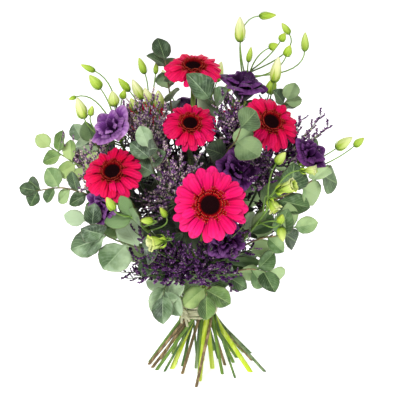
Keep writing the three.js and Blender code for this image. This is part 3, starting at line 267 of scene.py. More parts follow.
# Fork: where the stem divides. Tips: the end of each flowering branch. Fill: the ends of its slighter
# side branches. Pale: 0 deep purple, 1 lilac and straw.
STATICE = {
    "upper_left": dict(
        pale=0.7, fork=(-28, -22, 262), tips=[(-34, -42, 318), (-52, -40, 326), (-70, -38, 312)],
        fill=[
            (-44, -44, 304), (-60, -40, 318), (-30, -40, 332), (-62, -44, 298), (-40, -34, 342),
            (-74, -34, 322), (-48, -40, 288), (-64, -20, 334), (-52, -16, 342), (-76, -14, 328),
            (-38, -20, 338), (-86, -22, 316), (-25, 5, 281), (12, 5, 275), (-46, -16, 348),
            (-58, -20, 330), (-70, -22, 338), (-78, -24, 334), (-66, -26, 322), (-60, -24, 342),
            (-74, -26, 326), (-82, -8, 292), (-72, -8, 276), (-66, 0, 290), (-30, -4, 326), (14, -2, 284),
            (6, -6, 268),
        ],
    ),
    "middle": dict(
        pale=0.62, fork=(-10, -62, 232), tips=[(-12, -92, 290), (-30, -90, 300), (8, -84, 286)],
        fill=[
            (-22, -88, 276), (-40, -84, 282), (-18, -86, 262), (-2, -90, 270), (-44, -78, 300),
            (-32, -80, 256), (-50, -62, 226), (-40, -66, 242), (-58, -58, 206), (-62, -64, 236),
            (-58, -20, 196), (-68, -16, 206), (22, -10, 272),
        ],
    ),
    "upper_right": dict(
        pale=0.5, fork=(48, -22, 288),
        tips=[(46, -50, 352), (54, -42, 340), (40, -58, 326), (62, -58, 330)],
        fill=[
            (30, -52, 338), (36, -44, 350), (48, -50, 316), (28, -56, 318), (34, -40, 300), (44, -36, 290),
            (26, -46, 282), (56, -44, 304),
        ],
    ),
    "right": dict(
        pale=0.4, fork=(92, -10, 262),
        tips=[(84, -72, 290), (150, -22, 324), (158, -26, 312), (128, -26, 320)],
        fill=[
            (66, -74, 280), (72, -76, 266), (62, -78, 252), (82, -68, 250), (56, -68, 268),
            (140, -30, 300), (120, -34, 302), (112, -28, 314), (144, -36, 286), (132, -42, 276),
            (101, 15, 247), (102, 8, 192), (79, 8, 200), (84, 8, 338), (104, -20, 172), (96, -28, 182),
            (88, 0, 284),
        ],
    ),
    "low": dict(
        pale=0.22, fork=(0, -46, 152),
        tips=[
            (-46, -98, 172), (-66, -88, 152), (-26, -106, 182), (-4, -106, 188), (50, -72, 128),
            (66, -94, 198),
        ],
        fill=[
            (-20, -98, 158), (-38, -104, 186), (-60, -92, 180), (-72, -84, 168), (-8, -104, 172),
            (-52, -102, 198), (-28, -98, 204), (14, -100, 152), (32, -100, 164), (50, -94, 178),
            (60, -96, 214), (56, -88, 152), (72, -82, 182), (-64, -78, 200), (68, 0, 149), (90, -10, 166),
            (-70, -10, 128), (-92, -24, 158), (-34, -92, 166), (-12, -98, 162), (6, -100, 178),
            (24, -98, 188), (42, -92, 152), (-48, -92, 160), (-54, -86, 190), (-24, -92, 148),
            (14, -92, 142), (38, -94, 200), (-84, -50, 142), (-76, -44, 132),
        ],
    ),
    "left": dict(
        pale=0.7, fork=(-98, -22, 240),
        tips=[(-150, -28, 296), (-140, -22, 290), (-124, -50, 262), (-122, -66, 246)],
        fill=[
            (-112, -40, 276), (-104, -44, 288), (-98, -46, 298), (-118, -34, 290), (-100, -56, 262),
            (-130, -36, 280), (-80, 10, 284), (-90, 5, 276), (-69, 10, 223), (-60, 5, 196),
        ],
    ),
    "back": dict(
        pale=0.3, fork=(-6, 66, 216),
        tips=[(-48, 132, 262), (-14, 144, 246), (24, 142, 256), (52, 132, 226)],
        fill=[
            (-60, 118, 246), (-30, 138, 236), (8, 140, 262), (38, 136, 240), (62, 120, 250), (0, 124, 216),
            (-44, 112, 220), (-34, 24, 258), (-56, 26, 284), (0, 30, 300), (30, 34, 268), (-24, 24, 326),
            (54, 24, 236), (-70, 16, 244), (-14, 34, 196), (76, 16, 292), (22, 26, 216), (-44, 14, 200),
            (64, 4, 204), (-84, 20, 262), (96, 12, 252), (40, 26, 330), (10, 20, 340), (-72, 6, 208),
            (-56, 4, 200), (-88, 6, 276), (-78, -20, 172), (-56, -16, 180), (66, -12, 180), (92, -6, 214),
            (54, -14, 158), (-28, -10, 150), (22, -10, 150),
        ],
    ),
}


# ------------------------------------------------------------------ small tools

def draw(seed, index):
    """A repeatable draw from -1 to 1 for one seed and one index."""
    s = (seed * 7919 + index * 104729 + 12345) % 2147483647
    s = (s * 16807) % 2147483647
    s = (s * 16807) % 2147483647
    return (s / 2147483647) * 2 - 1


def blend(a, b, share):
    return a + (b - a) * share


def along_stops(stops, share):
    """The height of a broken line through (share, value) stops, rounded at its corners."""
    for (x0, y0), (x1, y1) in zip(stops, stops[1:]):
        if share <= x1:
            t = max(0.0, (share - x0) / (x1 - x0))
            return blend(y0, y1, t * t * (3 - 2 * t))
    return stops[-1][1]


def points_of(rows):
    return [Vector(row) for row in rows]


def polar(radius, angle, height=0.0):
    return Vector((radius * math.cos(angle), radius * math.sin(angle), height))


def route(points, share):
    """A point on a smooth line through all the points, with one equal step for each of them."""
    p = min(max(share, 0.0), 1.0) * (len(points) - 1)
    i = min(int(p), len(points) - 2)
    t = p - i
    b, c = points[i], points[i + 1]
    a = points[i - 1] if i > 0 else b * 2 - c
    d = points[i + 2] if i + 2 < len(points) else c * 2 - b
    m, n = (c - a) * 0.5, (d - b) * 0.5
    return b + m * t + (c * 3 - b * 3 - m * 2 - n) * t * t + (b * 2 - c * 2 + m + n) * t ** 3


def heading(points, share):
    return (route(points, share + 1e-4) - route(points, share - 1e-4)).normalized()


def bowed(start, middle, end, share):
    """A point on an arc that leaves its start and reaches its end looking at the middle."""
    return start.lerp(middle, share).lerp(middle.lerp(end, share), share)


def arc_line(arc, steps):
    return [bowed(*arc, i / steps) for i in range(steps + 1)]


def frame_at(point, direction, turn=0.0):
    """The place that carries local +Z to a direction at a point."""
    z = Vector(direction).normalized()
    x = UP.cross(z)
    x = x.normalized() if x.length_squared > 1e-6 else Vector((1, 0, 0))
    return place_on(point, x, z.cross(x), z) @ Matrix.Rotation(turn, 4, "Z")


def place_on(point, x, y, z):
    return Matrix.Translation(Vector(point)) @ Matrix((x, y, z)).transposed().to_4x4()


def sized(x, y, z):
    return Matrix.Diagonal((x, y, z, 1))


# ------------------------------------------------------------------ shapes

VERT, EDGE = bmesh.types.BMVert, bmesh.types.BMEdge
LAYERS = ("across", "along", "tint")


def of_kind(kind, parts):
    return [part for part in parts if isinstance(part, kind)]


def new_shape():
    """An empty shape whose corners know how far across and along their petal they lie, and its tint."""
    bm = bmesh.new()
    for name in LAYERS:
        bm.verts.layers.float.new(name)
    return bm


def mark(bm, verts, across=0.0, along=0.0, tint=0.0):
    for name, value in zip(LAYERS, (across, along, tint)):
        layer = bm.verts.layers.float[name]
        for vert in verts:
            vert[layer] = value


def sheet(bm, columns, rows, at, tint=0.0):
    """A petal or leaf: its corner at u across, -1 to 1, and v along, 0 to 1, lies where at(u, v) says."""
    across, along, shade = (bm.verts.layers.float[name] for name in LAYERS)
    for vert in bmesh.ops.create_grid(bm, x_segments=columns, y_segments=rows, size=1)["verts"]:
        u, v = vert.co.x, (vert.co.y + 1) / 2
        vert[across], vert[along], vert[shade] = u, v, tint
        vert.co = at(u, v)


def frames_along(line):
    """A place at each point of a line that looks along it, without turning about it."""
    last = len(line) - 1
    ways = [(line[min(i + 1, last)] - line[max(i - 1, 0)]).normalized() for i in range(last + 1)]
    turn = UP.rotation_difference(ways[0])
    frames = []
    for i, point in enumerate(line):
        if i:
            turn = ways[i - 1].rotation_difference(ways[i]) @ turn
        frames.append(Matrix.Translation(point) @ turn.to_matrix().to_4x4())
    return frames


def tube(bm, line, radii, sides):
    """A round stem: a circle extruded from point to point of a line, with a radius at each."""
    frames = [place @ sized(r, r, r) for place, r in zip(frames_along(line), radii)]
    ring = bmesh.ops.create_circle(bm, segments=sides, radius=1)["verts"]
    edges = list({edge for vert in ring for edge in vert.link_edges})
    bmesh.ops.transform(bm, matrix=frames[0], verts=ring)
    mark(bm, ring)
    bmesh.ops.contextual_create(bm, geom=edges)
    wall = list(ring)
    for i in range(1, len(frames)):
        grown = bmesh.ops.extrude_edge_only(bm, edges=edges)["geom"]
        ring = of_kind(VERT, grown)
        edges = [edge for edge in of_kind(EDGE, grown) if edge.is_boundary]
        bmesh.ops.transform(bm, matrix=frames[i] @ frames[i - 1].inverted(), verts=ring)
        mark(bm, ring, along=i / (len(frames) - 1))
        wall += ring
    bmesh.ops.contextual_create(bm, geom=edges)
    bmesh.ops.recalc_face_normals(bm, faces=list({face for vert in wall for face in vert.link_faces}))


def tapered(start, end, steps):
    return [blend(start, end, i / steps) for i in range(steps + 1)]


def turned(profile, steps):
    """A new shape of revolution about +Z from (radius, height) pairs."""
    bm = new_shape()
    verts = [bm.verts.new((max(r, 1e-5), 0, h)) for r, h in profile]
    edges = [bm.edges.new(pair) for pair in zip(verts, verts[1:])]
    for i, vert in enumerate(verts):
        mark(bm, [vert], along=i / (len(verts) - 1))
    bmesh.ops.spin(
        bm, geom=verts + edges, cent=(0, 0, 0), axis=(0, 0, 1), angle=TURN, steps=steps, use_merge=True,
    )
    bmesh.ops.remove_doubles(bm, verts=bm.verts, dist=1e-4)
    bmesh.ops.recalc_face_normals(bm, faces=bm.faces)
    return bm


def cut_level(bm, height, clear_below=False):
    """Cuts a shape at a height and gives the edges of the cut."""
    return of_kind(EDGE, bmesh.ops.bisect_plane(
        bm, geom=bm.verts[:] + bm.edges[:] + bm.faces[:], plane_co=(0, 0, height), plane_no=(0, 0, -1),
        clear_outer=clear_below,
    )["geom_cut"])


def as_mesh(name, bm):
    """Keeps a shape as a mesh, for a piece or as a pattern to stamp copies from."""
    mesh = bpy.data.meshes.new(name)
    bm.to_mesh(mesh)
    bm.free()
    return mesh


def stamp(bm, shape, place, tint):
    """Adds one copy of a pattern at a place, with its tints raised by one amount."""
    copy = shape.copy()
    copy.transform(place)
    if place.determinant() < 0:
        copy.flip_normals()
    tints = [0.0] * len(copy.vertices)
    copy.attributes["tint"].data.foreach_get("value", tints)
    copy.attributes["tint"].data.foreach_set("value", [tint + own for own in tints])
    bm.from_mesh(copy)
    bpy.data.meshes.remove(copy)


def stood(name, data):
    """A new object in the scene that holds a mesh, a lamp or a lens."""
    made = bpy.data.objects.new(name, data)
    bpy.context.scene.collection.objects.link(made)
    return made


def dressed(name, bm, finish):
    """A new object with a shape for its mesh, smooth and in one finish."""
    mesh = as_mesh(name, bm)
    mesh.polygons.foreach_set("use_smooth", [True] * len(mesh.polygons))
    mesh.materials.append(finish)
    return stood(name, mesh)


def finished(name, bm, finish, node, thickness=0.0, rounded=0):
    """Moves a shape into the frame as the piece that stands for a node."""
    bmesh.ops.transform(bm, matrix=TO_FRAME, verts=bm.verts)
    made = dressed(name, bm, FINISHES[finish])
    if thickness:
        wall = made.modifiers.new("thickness", "SOLIDIFY")
        wall.thickness = thickness * MM
        wall.offset = 0
    if rounded:
        soft = made.modifiers.new("rounded", "SUBSURF")
        soft.levels = soft.render_levels = rounded
    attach(made, "root")
    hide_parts(node)


# ------------------------------------------------------------------ reading the solids

SLICE_STEP = 14.0
FIRST_SLICE = 0.6
CUT_CLEARANCE = 5.0  # the last slice lies this far below the start of the fixed top


def section_middles(bm, height):
    """The middles of all the closed sections that a level plane cuts out of a solid."""
    edges = set(cut_level(bm, height))
    middles = []
    while edges:
        chain, total, middle = [edges.pop()], 0.0, Vector((0, 0, 0))
        while chain:
            edge = chain.pop()
            length = edge.calc_length()
            total += length
            middle += (edge.verts[0].co + edge.verts[1].co) * (0.5 * length)
            for vert in edge.verts:
                for other in vert.link_edges:
                    if other in edges:
                        edges.remove(other)
                        chain.append(other)
        middles.append(middle / max(total, 1e-9))
    return middles


def stem_below(node, top):
    """The middle of a stem, read off its solid from the table to just under its fixed top."""
    bm = bmesh.new()
    bm.from_mesh(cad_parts[node].data)
    bmesh.ops.transform(bm, matrix=TO_LAYOUT, verts=bm.verts)
    bmesh.ops.remove_doubles(bm, verts=bm.verts, dist=1e-3)
    highest = top.z - CUT_CLEARANCE
    steps = max(4, round(highest / SLICE_STEP))
    line = []
    for i in range(steps + 1):
        middles = section_middles(bm, blend(FIRST_SLICE, highest, i / steps))
        guess = Vector((0, 0, 0))
        if line:
            guess = line[-1] * 2 - line[-2] if len(line) > 1 else line[-1]
        line.append(min(middles, key=lambda m: (m - guess).length))
    bm.free()
    return line


def corner_tree(node):
    """The corners of a node's solid, to see which of its possible places a leaf or twig has taken."""
    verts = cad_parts[node].data.vertices
    tree = kdtree.KDTree(len(verts))
    for i, vert in enumerate(verts):
        tree.insert(TO_LAYOUT @ vert.co, i)
    tree.balance()
    return tree


# ------------------------------------------------------------------ finishes

# Colours are written as a screen shows them, 0 to 255.
HEART_RADII = Vector((0.155, 0.125, 0.15))  # half axes of the painted shade in the heart of the bouquet
HEART_SCALE = Vector((1 / r for r in HEART_RADII))
HEART = -(Vector((0, 0, 0.24)) - MIDDLE * MM) * HEART_SCALE
# The colour of the painted shade that darkens everything deep inside the bouquet.
PAINTED_SHADE_COLOUR = (20, 24, 16)
PAINTED_SHADE_EDGE, PAINTED_SHADE_FADE = 0.8, 2.6  # share of the radii where the painted shade begins, and how fast it darkens


def paint(colour):
    """A colour for a shader."""
    def linear(c):
        c /= 255
        return c / 12.92 if c < 0.04045 else ((c + 0.055) / 1.055) ** 2.4
    return (*(linear(c) for c in colour), 1.0)


class Wire:
    """An output of a material's nodes. Arithmetic on it adds the Math nodes it needs."""

    def __init__(self, recipe, socket):
        self.recipe = recipe
        self.socket = socket

    def __add__(self, other):
        return self.recipe.math("ADD", self, other)

    def __sub__(self, other):
        return self.recipe.math("SUBTRACT", self, other)

    def __rsub__(self, other):
        return self.recipe.math("SUBTRACT", other, self)

    def __mul__(self, other):
        return self.recipe.math("MULTIPLY", self, other)

    def __pow__(self, other):
        return self.recipe.math("POWER", self, other)

    __radd__ = __add__
    __rmul__ = __mul__


class Recipe:
    """One finish: a material and the few ways its nodes are made."""

    def __init__(self, name, **constants):
        self.material = bpy.data.materials.new(name)
        self.material.use_nodes = True
        self.tree = self.material.node_tree
        self.shader = self.tree.nodes["Principled BSDF"]
        for key, value in constants.items():
            self.shader.inputs[key.replace("_", " ")].default_value = value

    def node(self, kind, settings=None, inputs=None, output=0):
        made = self.tree.nodes.new("ShaderNode" + kind)
        for key, value in (settings or {}).items():
            if key == "stops":
                self.set_stops(made.color_ramp, value)
            else:
                setattr(made, key, value)
        for key, value in (inputs or {}).items():
            if isinstance(value, Wire):
                self.tree.links.new(value.socket, made.inputs[key])
            else:
                made.inputs[key].default_value = value
        return Wire(self, made.outputs[output])

    @staticmethod
    def set_stops(ramp, stops):
        while len(ramp.elements) < len(stops):
            ramp.elements.new(1.0)
        for element, (position, colour) in zip(ramp.elements, stops):
            element.position = position
            element.color = paint(colour)

    def math(self, operation, *values):
        return self.node("Math", {"operation": operation}, dict(enumerate(values)))

    def clamped(self, value):
        return self.node("Clamp", None, {"Value": value})

    def attribute(self, name):
        return self.node("Attribute", {"attribute_name": name}, None, "Fac")

    def layers(self):
        return (self.attribute(name) for name in LAYERS)

    def where(self, **mapping):
        """Object coordinates, in metres, stretched or moved by a mapping."""
        spot = self.node("TexCoord", None, None, "Object")
        return self.node("Mapping", None, {"Vector": spot, **mapping}) if mapping else spot

    def height(self):
        return self.node("SeparateXYZ", None, {0: self.where()}, 2)

    def noise(self, scale, detail=3.0, stretch=(1, 1, 1)):
        """Noise on object coordinates; scale is in patches per metre."""
        inputs = {"Vector": self.where(Scale=stretch), "Scale": scale, "Detail": detail}
        return self.node("TexNoise", None, inputs)

    def deep(self, colour, share=0.85):
        """Painted shade: a colour that turns nearly black towards the heart of the bouquet, standing in for
        the shade inside it.
        """
        where = self.where(Location=HEART, Scale=HEART_SCALE)
        far = self.node("VectorMath", {"operation": "LENGTH"}, {0: where}, 1)
        dark = self.clamped((PAINTED_SHADE_EDGE - far) * PAINTED_SHADE_FADE)
        return self.mix(dark * share, colour, PAINTED_SHADE_COLOUR)

    def ramp(self, value, *stops):
        return self.node("ValToRGB", {"stops": stops}, {"Fac": value})

    def mix(self, share, a, b):
        a, b = (c if isinstance(c, Wire) else paint(c) for c in (a, b))
        return self.node("Mix", {"data_type": "RGBA"}, {0: share, 6: a, 7: b}, 2)

    def into(self, **sockets):
        """Links what varies into the shader and gives the material."""
        for key, wire in sockets.items():
            self.tree.links.new(wire.socket, self.shader.inputs[key.replace("_", " ")])
        return self.material

    def done(self, colour, roughness, relief, depth, strength=0.6):
        """The material with its colour, its roughness and a relief some metres deep."""
        bump = self.node("Bump", None, {"Height": relief, "Distance": depth, "Strength": strength})
        return self.into(Base_Color=colour, Roughness=roughness, Normal=bump)


def petal_finish():
    """Gerbera rays: hot pink, redder at the root, with painted shade in the grooves and at the edges."""
    r = Recipe("gerbera_petal", Specular_IOR_Level=0.1)
    across, along, tint = r.layers()
    grooves = r.math("COSINE", across * 8.4)
    fine = r.math("SINE", across * 46.0 + r.noise(60, 2) * 5.0)
    length = along + fine * 0.03 + (r.noise(45) - 0.5) * 0.25
    red = r.ramp(
        length, (0.0, (104, 0, 20)), (0.2, (186, 0, 40)), (0.55, (224, 2, 60)), (1.0, (240, 26, 90)),
    )
    magenta = r.ramp(
        length, (0.0, (130, 0, 40)), (0.2, (206, 0, 76)), (0.55, (238, 6, 108)), (1.0, (250, 42, 132)),
    )
    colour = r.mix(r.clamped(tint), red, magenta)
    # Painted shade in the troughs of the two grooves.
    colour = r.mix(r.clamped(grooves * -0.3), colour, (176, 0, 54))
    # Painted shade between the rays: darker towards the edges of each one.
    edge = r.math("ABSOLUTE", across) ** 6.0
    colour = r.mix(edge * 0.7, colour, (140, 0, 36))
    relief = grooves * 0.6 + fine * 0.2 + r.noise(900, 4) * 0.4
    return r.done(colour, 0.55 + fine * 0.05, relief, 0.0005)


def eye_finish():
    """Gerbera eye: nearly black beads where the tint is 0, and red threads with paler tips at 1."""
    r = Recipe("gerbera_eye", Specular_IOR_Level=0.05)
    _, along, tint = r.layers()
    dark = r.mix(along, (6, 1, 3), (30, 5, 9))
    ring = r.ramp(
        along, (0.0, (84, 1, 8)), (0.5, (164, 8, 22)), (0.84, (190, 26, 28)), (1.0, (222, 112, 76)),
    )
    grain = r.noise(1800, 3)
    return r.done(r.mix(tint, dark, ring), 0.75 + grain * 0.2, grain, 0.0003)


def stem_finish(name, low, high, fleck):
    """A green stem: fine streaks along it, another colour towards its cut foot, with flecks."""
    r = Recipe(name, Specular_IOR_Level=0.45)
    streaks = r.noise(260, 3, (1, 1, 0.06))
    rise = r.clamped(r.height() * 4.5 + (r.noise(30) - 0.5) * 0.5)
    flecked = r.ramp(streaks, (0.42, (0, 0, 0)), (0.7, (255, 255, 255)))
    colour = r.mix(flecked, r.mix(rise, low, high), fleck)
    # Painted shade: the stem darkens towards the heart of the bouquet.
    colour = r.deep(r.mix(r.attribute("tint"), colour, r.mix(0.5, high, fleck)))
    return r.done(colour, 0.4 + streaks * 0.25, streaks, 0.0006)


def bud_finish():
    """Lisianthus green: stalks where the tint is 0, buds from green through cream above it."""
    r = Recipe("lisianthus_green", Specular_IOR_Level=0.45)
    across, along, tint = r.layers()
    streaks = r.noise(300, 3, (1, 1, 0.15))
    stalk = r.mix(streaks, (84, 122, 46), (142, 178, 78))
    foot = r.mix(streaks, (54, 92, 28), (132, 168, 62))
    stalk = r.mix(r.clamped(1.4 - r.height() * 9.0), stalk, foot)
    green = r.ramp(along, (0.0, (96, 138, 24)), (0.45, (160, 194, 44)), (1.0, (210, 220, 96)))
    cream = r.ramp(
        along, (0.0, (130, 168, 50)), (0.3, (204, 216, 112)), (0.7, (238, 238, 186)), (1.0, (222, 222, 166)),
    )
    bud = r.mix(r.clamped(tint * 1.8 - 0.8), green, cream)
    lap = r.math("SINE", across * 12.0 + along * 5.0)
    bud = r.mix(r.clamped(lap * 0.3), bud, (150, 186, 66))
    # Painted shade: the stalks darken towards the heart of the bouquet.
    colour = r.mix(r.clamped(tint * 6.0), r.deep(stalk), bud)
    return r.done(colour, 0.42 + streaks * 0.2, streaks + lap * 0.2, 0.0005)


def bloom_finish():
    """Lisianthus petals: deep violet, veined, paler at the root and in the pale bloom, lighter at the rim
    partly as a painted highlight, and darkened by painted shade towards the heart of the bouquet.
    """
    r = Recipe("lisianthus_petal", Specular_IOR_Level=0.15)
    across, along, tint = r.layers()
    veins = r.math("SINE", across * 24.0 + r.noise(55, 2) * 7.0)
    length = along + veins * 0.05
    # Both ramps lighten towards the rim: partly the petal's own tone, partly a painted highlight on the
    # rolled-out rim.
    deep = r.ramp(length, (0.0, (66, 30, 60)), (0.3, (22, 0, 28)), (0.75, (42, 0, 52)), (1.0, (98, 30, 112)))
    pale = r.ramp(
        length, (0.0, (180, 150, 176)), (0.3, (86, 36, 106)), (0.75, (120, 62, 140)), (1.0, (186, 136, 196)),
    )
    # Painted shade: the petals darken towards the heart of the bouquet.
    colour = r.deep(r.mix(r.clamped(tint + (r.noise(70) - 0.5) * 0.3), deep, pale), 0.6)
    return r.done(colour, 0.5 + veins * 0.06, veins * 0.4 + r.noise(500, 3) * 0.6, 0.0005)


def leaf_finish(name, shade, body, light, bloom):
    """A leaf: waxy, mottled, with a painted highlight on one half, pale veins, a fine dark margin and
    painted shade towards the heart of the bouquet.
    """
    r = Recipe(name, Specular_IOR_Level=0.5, Sheen_Weight=0.15)
    across, along, tint = r.layers()
    aside = r.math("ABSOLUTE", across)
    rib = r.clamped(1.0 - aside * 16.0)
    branch = r.math("SINE", along * 52.0 - aside * 22.0 + r.noise(90, 2) * 3.0)
    veins = r.clamped(branch * 6.0 - 5.0) * 0.5
    mottle = r.noise(38, 4)
    # Painted light: the half of the leaf on the side of +across is pushed lighter, as if lit across its
    # fold.
    half = r.clamped(across * 5.0 + 0.5)
    wax = r.ramp(mottle + (tint - 0.5) * 0.7 + half * 0.14, (0.32, shade), (0.56, body), (0.84, light))
    wax = r.mix(r.clamped(r.noise(160, 3) * 2.6 - 1.3) * 0.5, wax, bloom)
    colour = r.mix(r.clamped(rib * 0.7 + veins * 0.5), wax, light)
    edge = r.clamped(aside * 20.0 - 18.9)
    # Painted shade: the leaves darken towards the heart of the bouquet.
    colour = r.deep(r.mix(edge * 0.4, colour, (120, 96, 72)))
    return r.done(colour, 0.46 + mottle * 0.2, mottle * 0.5 - rib * 0.5 - veins, 0.0005, 0.7)


def statice_finish():
    """Statice florets: deep purple where the tint is 0, through lilac, to straw at 1."""
    r = Recipe("statice_floret", Specular_IOR_Level=0.2)
    _, along, tint = r.layers()
    speck = r.noise(700, 2)
    colour = r.ramp(
        tint + (speck - 0.5) * 0.25, (0.0, (46, 10, 58)), (0.3, (90, 42, 106)), (0.6, (142, 98, 150)),
        (0.82, (198, 170, 186)), (1.0, (226, 212, 190)),
    )
    # Painted shade: the florets darken towards the heart of the bouquet.
    cup = r.deep(r.mix(r.clamped(along * 2.2 - 0.1), (50, 62, 34), colour), 0.9)
    return r.done(cup, 0.62 + speck * 0.2, speck, 0.0003)


def raffia_finish():
    """Raffia: straw-coloured fibres along each strand, greener in patches."""
    r = Recipe("raffia", Specular_IOR_Level=0.35)
    fibres = r.math("SINE", r.attribute("across") * 30.0 + r.noise(120, 3) * 9.0)
    colour = r.mix(r.clamped(fibres * 0.5 + 0.5), (226, 222, 172), (250, 248, 222))
    colour = r.mix(r.noise(90) * 0.3, colour, (206, 210, 140))
    return r.done(colour, 0.6 + fibres * 0.1, fibres, 0.0004)


# A stem's colours at its foot and higher up, and its flecks.
STEM_COLOURS = {
    "gerbera_stem": ((202, 226, 28), (104, 142, 44), (226, 238, 120)),
    "eucalyptus_twig_grey": ((130, 152, 104), (104, 104, 70), (70, 96, 54)),
    "eucalyptus_twig_dark": ((104, 82, 48), (96, 92, 58), (172, 146, 100)),
    "eucalyptus_twig_fresh": ((84, 118, 34), (84, 108, 52), (158, 180, 70)),
    "statice_stem": ((66, 102, 40), (58, 78, 44), (120, 148, 78)),
}
# A leaf's colours: in its darker patches, its body, its lighter patches and veins, and its bloom of wax.
LEAF_COLOURS = {
    "eucalyptus_grey": ((38, 62, 34), (94, 124, 80), (178, 202, 160), (184, 208, 182)),
    "eucalyptus_fresh": ((48, 78, 24), (102, 138, 62), (176, 200, 124), (160, 190, 134)),
    "eucalyptus_green": ((38, 68, 26), (86, 122, 64), (164, 192, 128), (164, 194, 148)),
    "eucalyptus_dark": ((34, 58, 26), (78, 106, 60), (140, 166, 112), (130, 158, 120)),
    "lisianthus_leaf": ((30, 54, 26), (60, 92, 48), (110, 142, 84), (104, 136, 96)),
}
FINISHES = {
    "petal": petal_finish(),
    "eye": eye_finish(),
    "lisianthus_green": bud_finish(),
    "bloom": bloom_finish(),
    "statice": statice_finish(),
    "raffia": raffia_finish(),
    **{name: stem_finish(name, *colours) for name, colours in STEM_COLOURS.items()},
    **{name: leaf_finish(name, *colours) for name, colours in LEAF_COLOURS.items()},
}


# ------------------------------------------------------------------ stems

STEM_RADIUS = {"gerbera": 3.0, "lisianthus": 2.1, "eucalyptus": 1.9, "statice": 1.5}
STEM_TIP = {"lisianthus": 1.3, "eucalyptus": 0.7, "statice": 1.2}  # the radius it tapers to
STEM_SIDES = 10
STEM_STEPS = 3  # rings from one knot of a stem to the next
FOOT_DIP = 8.0  # a stem is drawn this far through the table and then cut level with it
LEAST_RADIUS = 0.3


def stem_tube(bm, family, node, top, last_radii=()):
    """A whole stem: read off the solid up to its fixed top, which may swell or taper, and cut level."""
    below = stem_below(node, top[0])
    radius = STEM_RADIUS[family]
    foot = below[0] - (below[1] - below[0]).normalized() * FOOT_DIP
    points = [foot, *below[1:], *top]
    radii = [radius] * (len(points) - len(last_radii)) + list(last_radii)
    if family in STEM_TIP:
        radii[len(below):] = tapered(radius, STEM_TIP[family], len(top))[1:]
    knots = [Vector((*p, r)) for p, r in zip(points, radii)]
    steps = STEM_STEPS * (len(knots) - 1)
    smooth = [route(knots, i / steps) for i in range(steps + 1)]
    tube(bm, [p.xyz for p in smooth], [max(p.w, LEAST_RADIUS) for p in smooth], STEM_SIDES)
    bmesh.ops.contextual_create(bm, geom=cut_level(bm, 0, clear_below=True))
    bmesh.ops.recalc_face_normals(bm, faces=bm.faces)


# ------------------------------------------------------------------ gerberas

WAIST = Vector((6, 0, 80))  # the middle of the tie
NECK = 36  # how far below its cup the stem bends
CALYX = [(14, 0, 3.2), (10, 0.09, 0), (5.8, 0.12, 0)]  # depth, share of the width, least radius
RAY_LAYERS = [
    dict(count=16, reach=1.0, height=-3.6, shift=0.0),
    dict(count=14, reach=0.96, height=-1.5, shift=0.5),
    dict(count=10, reach=0.86, height=0.8, shift=0.2),
]
RAY_OUTLINE = [(0, 0.42), (0.3, 0.72), (0.62, 1), (0.86, 1.02), (1, 0.74)]
RAY_ROOT, RAY_HALF = 0.13, 0.068  # shares of the head's width
RAY_WALL = 0.5
EYE_BEADS = 110
EYE_THREADS = (44, 50, 56)  # in each ring, from the inmost
DISC = 0.114  # these four are shares of the head's width
FIRST_RING, RING_STEP = 0.118, 0.027
THREAD_LENGTH = 0.062
THREAD_GIRTH = 2.3
BRACTS = 14
BRACT_ROWS = [(10.5, 0.092, 7.5), (7, 0.116, 6.5)]  # depth, share of the width, length


def gerbera_top(head, face):
    """The last points of the stem: where it bends, and the rings of the cup behind the head."""
    face = Vector(face).normalized()
    rings = [Vector(head) - face * depth for depth, _, _ in CALYX]
    rising = (rings[0] - WAIST).normalized()
    inwards = (face * 0.9 + rising).normalized()
    return [rings[0] - inwards * NECK, *rings]


def ray(bm, place, start, reach, half, height, seed, index, tint):
    """One strap-shaped ray with two grooves along it; some are cupped, some arched, some twisted."""
    droop = 3.4 * draw(seed, index + 500) - 0.6
    sweep = 2.6 * draw(seed, index + 600)
    roll = 0.42 * draw(seed, index + 700)
    cleft = 0.5 + 0.5 * draw(seed, index + 800)
    cupped = 1.5 * draw(seed, index + 850) - 1.2

    def at(u, v):
        wide = half * along_stops(RAY_OUTLINE, v)
        end = v ** 7
        x = blend(start, reach, v) - (u * u * 0.56 * half + cleft * math.exp(-(u * 7) ** 2)) * end
        y = u * wide + sweep * v * v
        arch = 2.6 * math.sin(math.pi * min(v * 1.05, 1)) - 2.4 * v ** 3
        groove = 0.55 * math.cos(u * 8.4) * min(1, v * 3)
        z = height + arch + groove + cupped * u * u + roll * u * wide * v + droop * v * v
        return place @ Vector((x, y, z))

    sheet(bm, 8, 9, at, tint)


def eye_patterns():
    """A bead, and a thread one long."""
    bead = new_shape()
    made = bmesh.ops.create_cone(bead, cap_ends=True, segments=6, radius1=0.62, radius2=0.28, depth=1.6)
    for vert in made["verts"]:
        mark(bead, [vert], along=1.0 if vert.co.z > 0 else 0.0)
    thread = new_shape()
    tube(thread, points_of([(0, 0, 0), (0, 0, 0.6), (0, 0, 1)]), [0.3, 0.4, 0.14], 5)
    return as_mesh("eye_bead", bead), as_mesh("eye_thread", thread)


